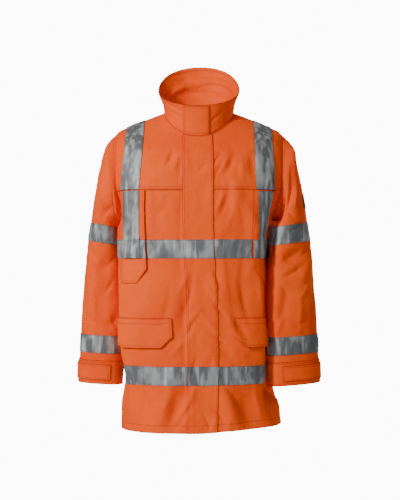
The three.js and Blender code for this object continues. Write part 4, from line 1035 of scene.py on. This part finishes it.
# The tape over the shoulders. The same tape from the yoke seam over each shoulder and down to the chest band
# on the back, with its lower front part on the chest flap.
BRACE = {"inner": 150, "outer": 200, "splay": {-1: 10, 1: 4}, "draw in": 19, "gap": 0.6, "over band": 2.4,
         "steps": 150, "columns": 12}


def turn_at_reach(level, reach, side, back):
    """The angle on the body's front or back where it is as far from the middle as reach."""
    near, far = np.full(level.shape, 180.0 if back else 0.0), np.full(level.shape, 90.0)
    ring = rings_at(BODY_RINGS, level)
    for _ in range(30):
        middle = (near + far) / 2
        short = np.abs(ring_point(ring, side * middle)[..., 0]) < reach
        near, far = np.where(short, middle, near), np.where(short, far, middle)
    return side * (near + far) / 2


def brace_line(reach, side):
    low, high = SHOULDER_TIP, NECK
    for _ in range(30):
        middle = (low + high) / 2
        wide = abs(ring_point(rings_at(BODY_RINGS, np.array([middle])), np.array([side * 90.0]))[0, 0])
        low, high = (middle, high) if wide > reach else (low, middle)
    crest, ease = low, np.sin(np.linspace(0, np.pi / 2, 61))
    front = YOKE + 1 + (crest - YOKE - 1) * ease
    rear = (CHEST_TAPE[0] + (crest - CHEST_TAPE[0]) * ease)[:-1][::-1]
    splayed = reach + BRACE["splay"][side] * (crest - front) / (crest - YOKE)
    drawn = reach - BRACE["draw in"] * (crest - rear) / (crest - CHEST_TAPE[0])
    turns = np.concatenate([turn_at_reach(front, splayed, side, False),
                            turn_at_reach(rear, drawn, side, True)])
    levels = np.concatenate([front, rear])
    read = lengths(ring_point(rings_at(BODY_RINGS, levels), turns))
    at = np.linspace(0, read[-1], BRACE["steps"] + 1)
    return np.interp(at, read, turns), np.interp(at, read, levels)


for name, side in SIDES.items():
    reaches = np.linspace(BRACE["inner"], BRACE["outer"], BRACE["columns"] + 1)
    turns, levels = (np.array(part) for part in zip(*(brace_line(reach, side) for reach in reaches)))
    over_band = (np.abs(turns) > 90) * (1 - eased(levels, CHEST_TAPE[1] + 4, CHEST_TAPE[1] + 24))
    tape(f"brace_band_{name}", body_spot(turns, levels),
         TAPE["face"] + BRACE["gap"] + over_band * BRACE["over band"], f"brace_{name}")
    levels = steps(CHEST_TAPE[0], YOKE - 3, 4)[None, :]
    runs = steps(160, 208, 4)[:, None]
    turns = turn_at(BODY_RINGS, levels, side * runs)
    on_band = 1 - eased(levels, CHEST_TAPE[1] + 1, CHEST_TAPE[1] + 12)
    tape(f"chest_brace_band_{name}", body_spot(turns, levels),
         chest_flap_face(runs, levels) + TAPE["face"] + on_band * BRACE["over band"], f"chest_brace_{name}")

# The tape round the sleeves. The same tape, twice round each sleeve, above and below the elbow.
SLEEVE_TAPES = {"upper": (205, 255), "lower": (508, 558)}
for name, side in SIDES.items():
    for place, (top, foot) in SLEEVE_TAPES.items():
        tape(f"sleeve_band_{place}_{name}", sleeve_spot(side, steps(top, foot, 4), round_turns), TAPE["face"],
             f"sleeve_tape_{place}_{name}", ringed=True)

# The label. A small black woven patch, bare, sewn to the wearer's left sleeve above the tape.
LABEL = {"top": 139, "foot": 170, "from": 142, "to": 192}
label_finish, tree, shader = new_finish("black_woven_patch", Sheen_Weight=0.3, Sheen_Roughness=0.4)
places = node(tree, "ShaderNodeTexCoord")
weave = woven(tree, places["UV"], 0.0008)
tree.links.new(mixed_colours(tree, weave, (0.008, 0.008, 0.010, 1), (0.022, 0.022, 0.026, 1)),
               shader.inputs["Base Color"])
tree.links.new(ranged(tree, soft_noise(tree, places["Object"], 120.0), 0.3, 0.7, 0.6, 0.8),
               shader.inputs["Roughness"])
tree.links.new(raised(tree, weave, 0.0002, 0.5), shader.inputs["Normal"])
BLACK_THREAD = thread_finish("black_thread", (0.01, 0.01, 0.012, 1), (0.03, 0.03, 0.034, 1))
spots = sleeve_spot(1, steps(LABEL["top"], LABEL["foot"], 3), steps(LABEL["from"], LABEL["to"], 3))
fit(sew("sleeve_patch", spots, TAPE["face"] + SEAM, TAPE["thick"], label_finish, foot=[1.6], head=[1.6],
        start=[1.6], end=[1.6]), "sleeve_label",
    BLACK_THREAD)

# The studio. A pale round floor that fades out at its rim, 1 m below the hem, a plain white backdrop all
# round that lights nothing, a soft light from the front left, another behind, and a weaker one beside each.
FLOOR = {"height": -1.9, "full": 1.3, "reach": 2.25}
BACKDROP = {"radius": 40.0, "glow": 11.0, "rings": 23}
ROUND = 96


def staged(name, rings, look, open_foot=False):
    """A round surface that only stages the jacket, from the radius and height of each of its rings."""
    angles = np.linspace(0, 2 * np.pi, ROUND, endpoint=False)
    vertices = [(radius * math.cos(angle), radius * math.sin(angle), height) for radius, height in rings
                for angle in angles]
    last = (len(rings) - 1) * ROUND
    faces = [(k + i, k + (i + 1) % ROUND, k + ROUND + (i + 1) % ROUND, k + ROUND + i)
             for k in range(0, last, ROUND) for i in range(ROUND)] + [tuple(range(last, last + ROUND))]
    if not open_foot:
        faces.append(tuple(range(ROUND))[::-1])
    mesh = bpy.data.meshes.new(name)
    mesh.from_pydata(vertices, [], faces)
    surface = added(name, mesh, look, ride=False)
    return surface


pale, tree, shader = new_finish("pale_floor", Roughness=0.9)
solid = node(tree, "ShaderNodeTexCoord")["Object"]
floor_colour = mixed_colours(tree, soft_noise(tree, solid, 1.5), (0.90, 0.90, 0.90, 1), (0.92, 0.92, 0.92, 1))
tree.links.new(floor_colour, shader.inputs["Base Color"])
flat = node(tree, "ShaderNodeVectorMath", {"Vector": solid, 1: (1.0, 1.0, 0.0)},
            operation="MULTIPLY")["Vector"]
away = node(tree, "ShaderNodeVectorMath", {"Vector": flat}, operation="LENGTH")["Value"]
tree.links.new(ranged(tree, away, FLOOR["full"], FLOOR["reach"] - 0.05, 1.0, 0.0), shader.inputs["Alpha"])
staged("studio_floor", [(radius, FLOOR["height"]) for radius in (FLOOR["reach"], 2.0, 1.5, 1.0, 0.5, 0.02)],
       pale, open_foot=True)
white = new_finish("white_backdrop", Roughness=1.0, Emission_Color=(1.0, 1.0, 1.0, 1),
                   Emission_Strength=BACKDROP["glow"])[0]
rises = np.linspace(-np.pi / 2, np.pi / 2, BACKDROP["rings"] + 2)[1:-1]
backdrop = staged("studio_backdrop", [(BACKDROP["radius"] * math.cos(rise),
                                       BACKDROP["radius"] * math.sin(rise)) for rise in rises], white)
backdrop.visible_diffuse = backdrop.visible_glossy = False
backdrop.visible_shadow = backdrop.visible_transmission = False

world = bpy.data.worlds.new("studio")
bpy.context.scene.world = world
world.use_nodes = True
sky = world.node_tree.nodes["Background"]
sky.inputs["Color"].default_value = (1.0, 1.0, 1.0, 1)
sky.inputs["Strength"].default_value = 0.28


def soft_light(name, place, target, size, power):
    """A round area light; those behind the jacket give no gleam."""
    light = bpy.data.lights.new(name, "AREA")
    light.shape, light.size, light.energy, light.spread = "DISK", size, power, math.pi
    lamp = bpy.data.objects.new(name, light)
    lamp.location = place
    aim = np.array(target) - place
    lamp.rotation_euler = (math.atan2(math.hypot(aim[0], aim[1]), -aim[2]), 0, math.atan2(-aim[0], aim[1]))
    lamp.visible_glossy = place[1] < 0
    bpy.context.scene.collection.objects.link(lamp)


soft_light("key_light", (-2.5, -2.7, 1.1), (0, 0, -0.45), 0.6, 170)
soft_light("fill_light", (1.2, -3.4, 0.2), (0, 0, -0.5), 1.2, 15)
soft_light("back_light", (2.3, 3.0, 1.0), (0, 0, -0.5), 1.4, 120)
soft_light("back_fill_light", (-1.2, 3.4, 0.2), (0, 0, -0.5), 1.2, 15)

CAMERA = {"place": (0.003, -3.2, -0.382), "lens": 82.6, "sensor": 36}
view = bpy.data.cameras.new("camera")
view.lens, view.sensor_width = CAMERA["lens"], CAMERA["sensor"]
camera = bpy.data.objects.new("camera", view)
camera.location = CAMERA["place"]
camera.rotation_euler = (math.pi / 2, 0, 0)
bpy.context.scene.collection.objects.link(camera)
bpy.context.scene.camera = camera
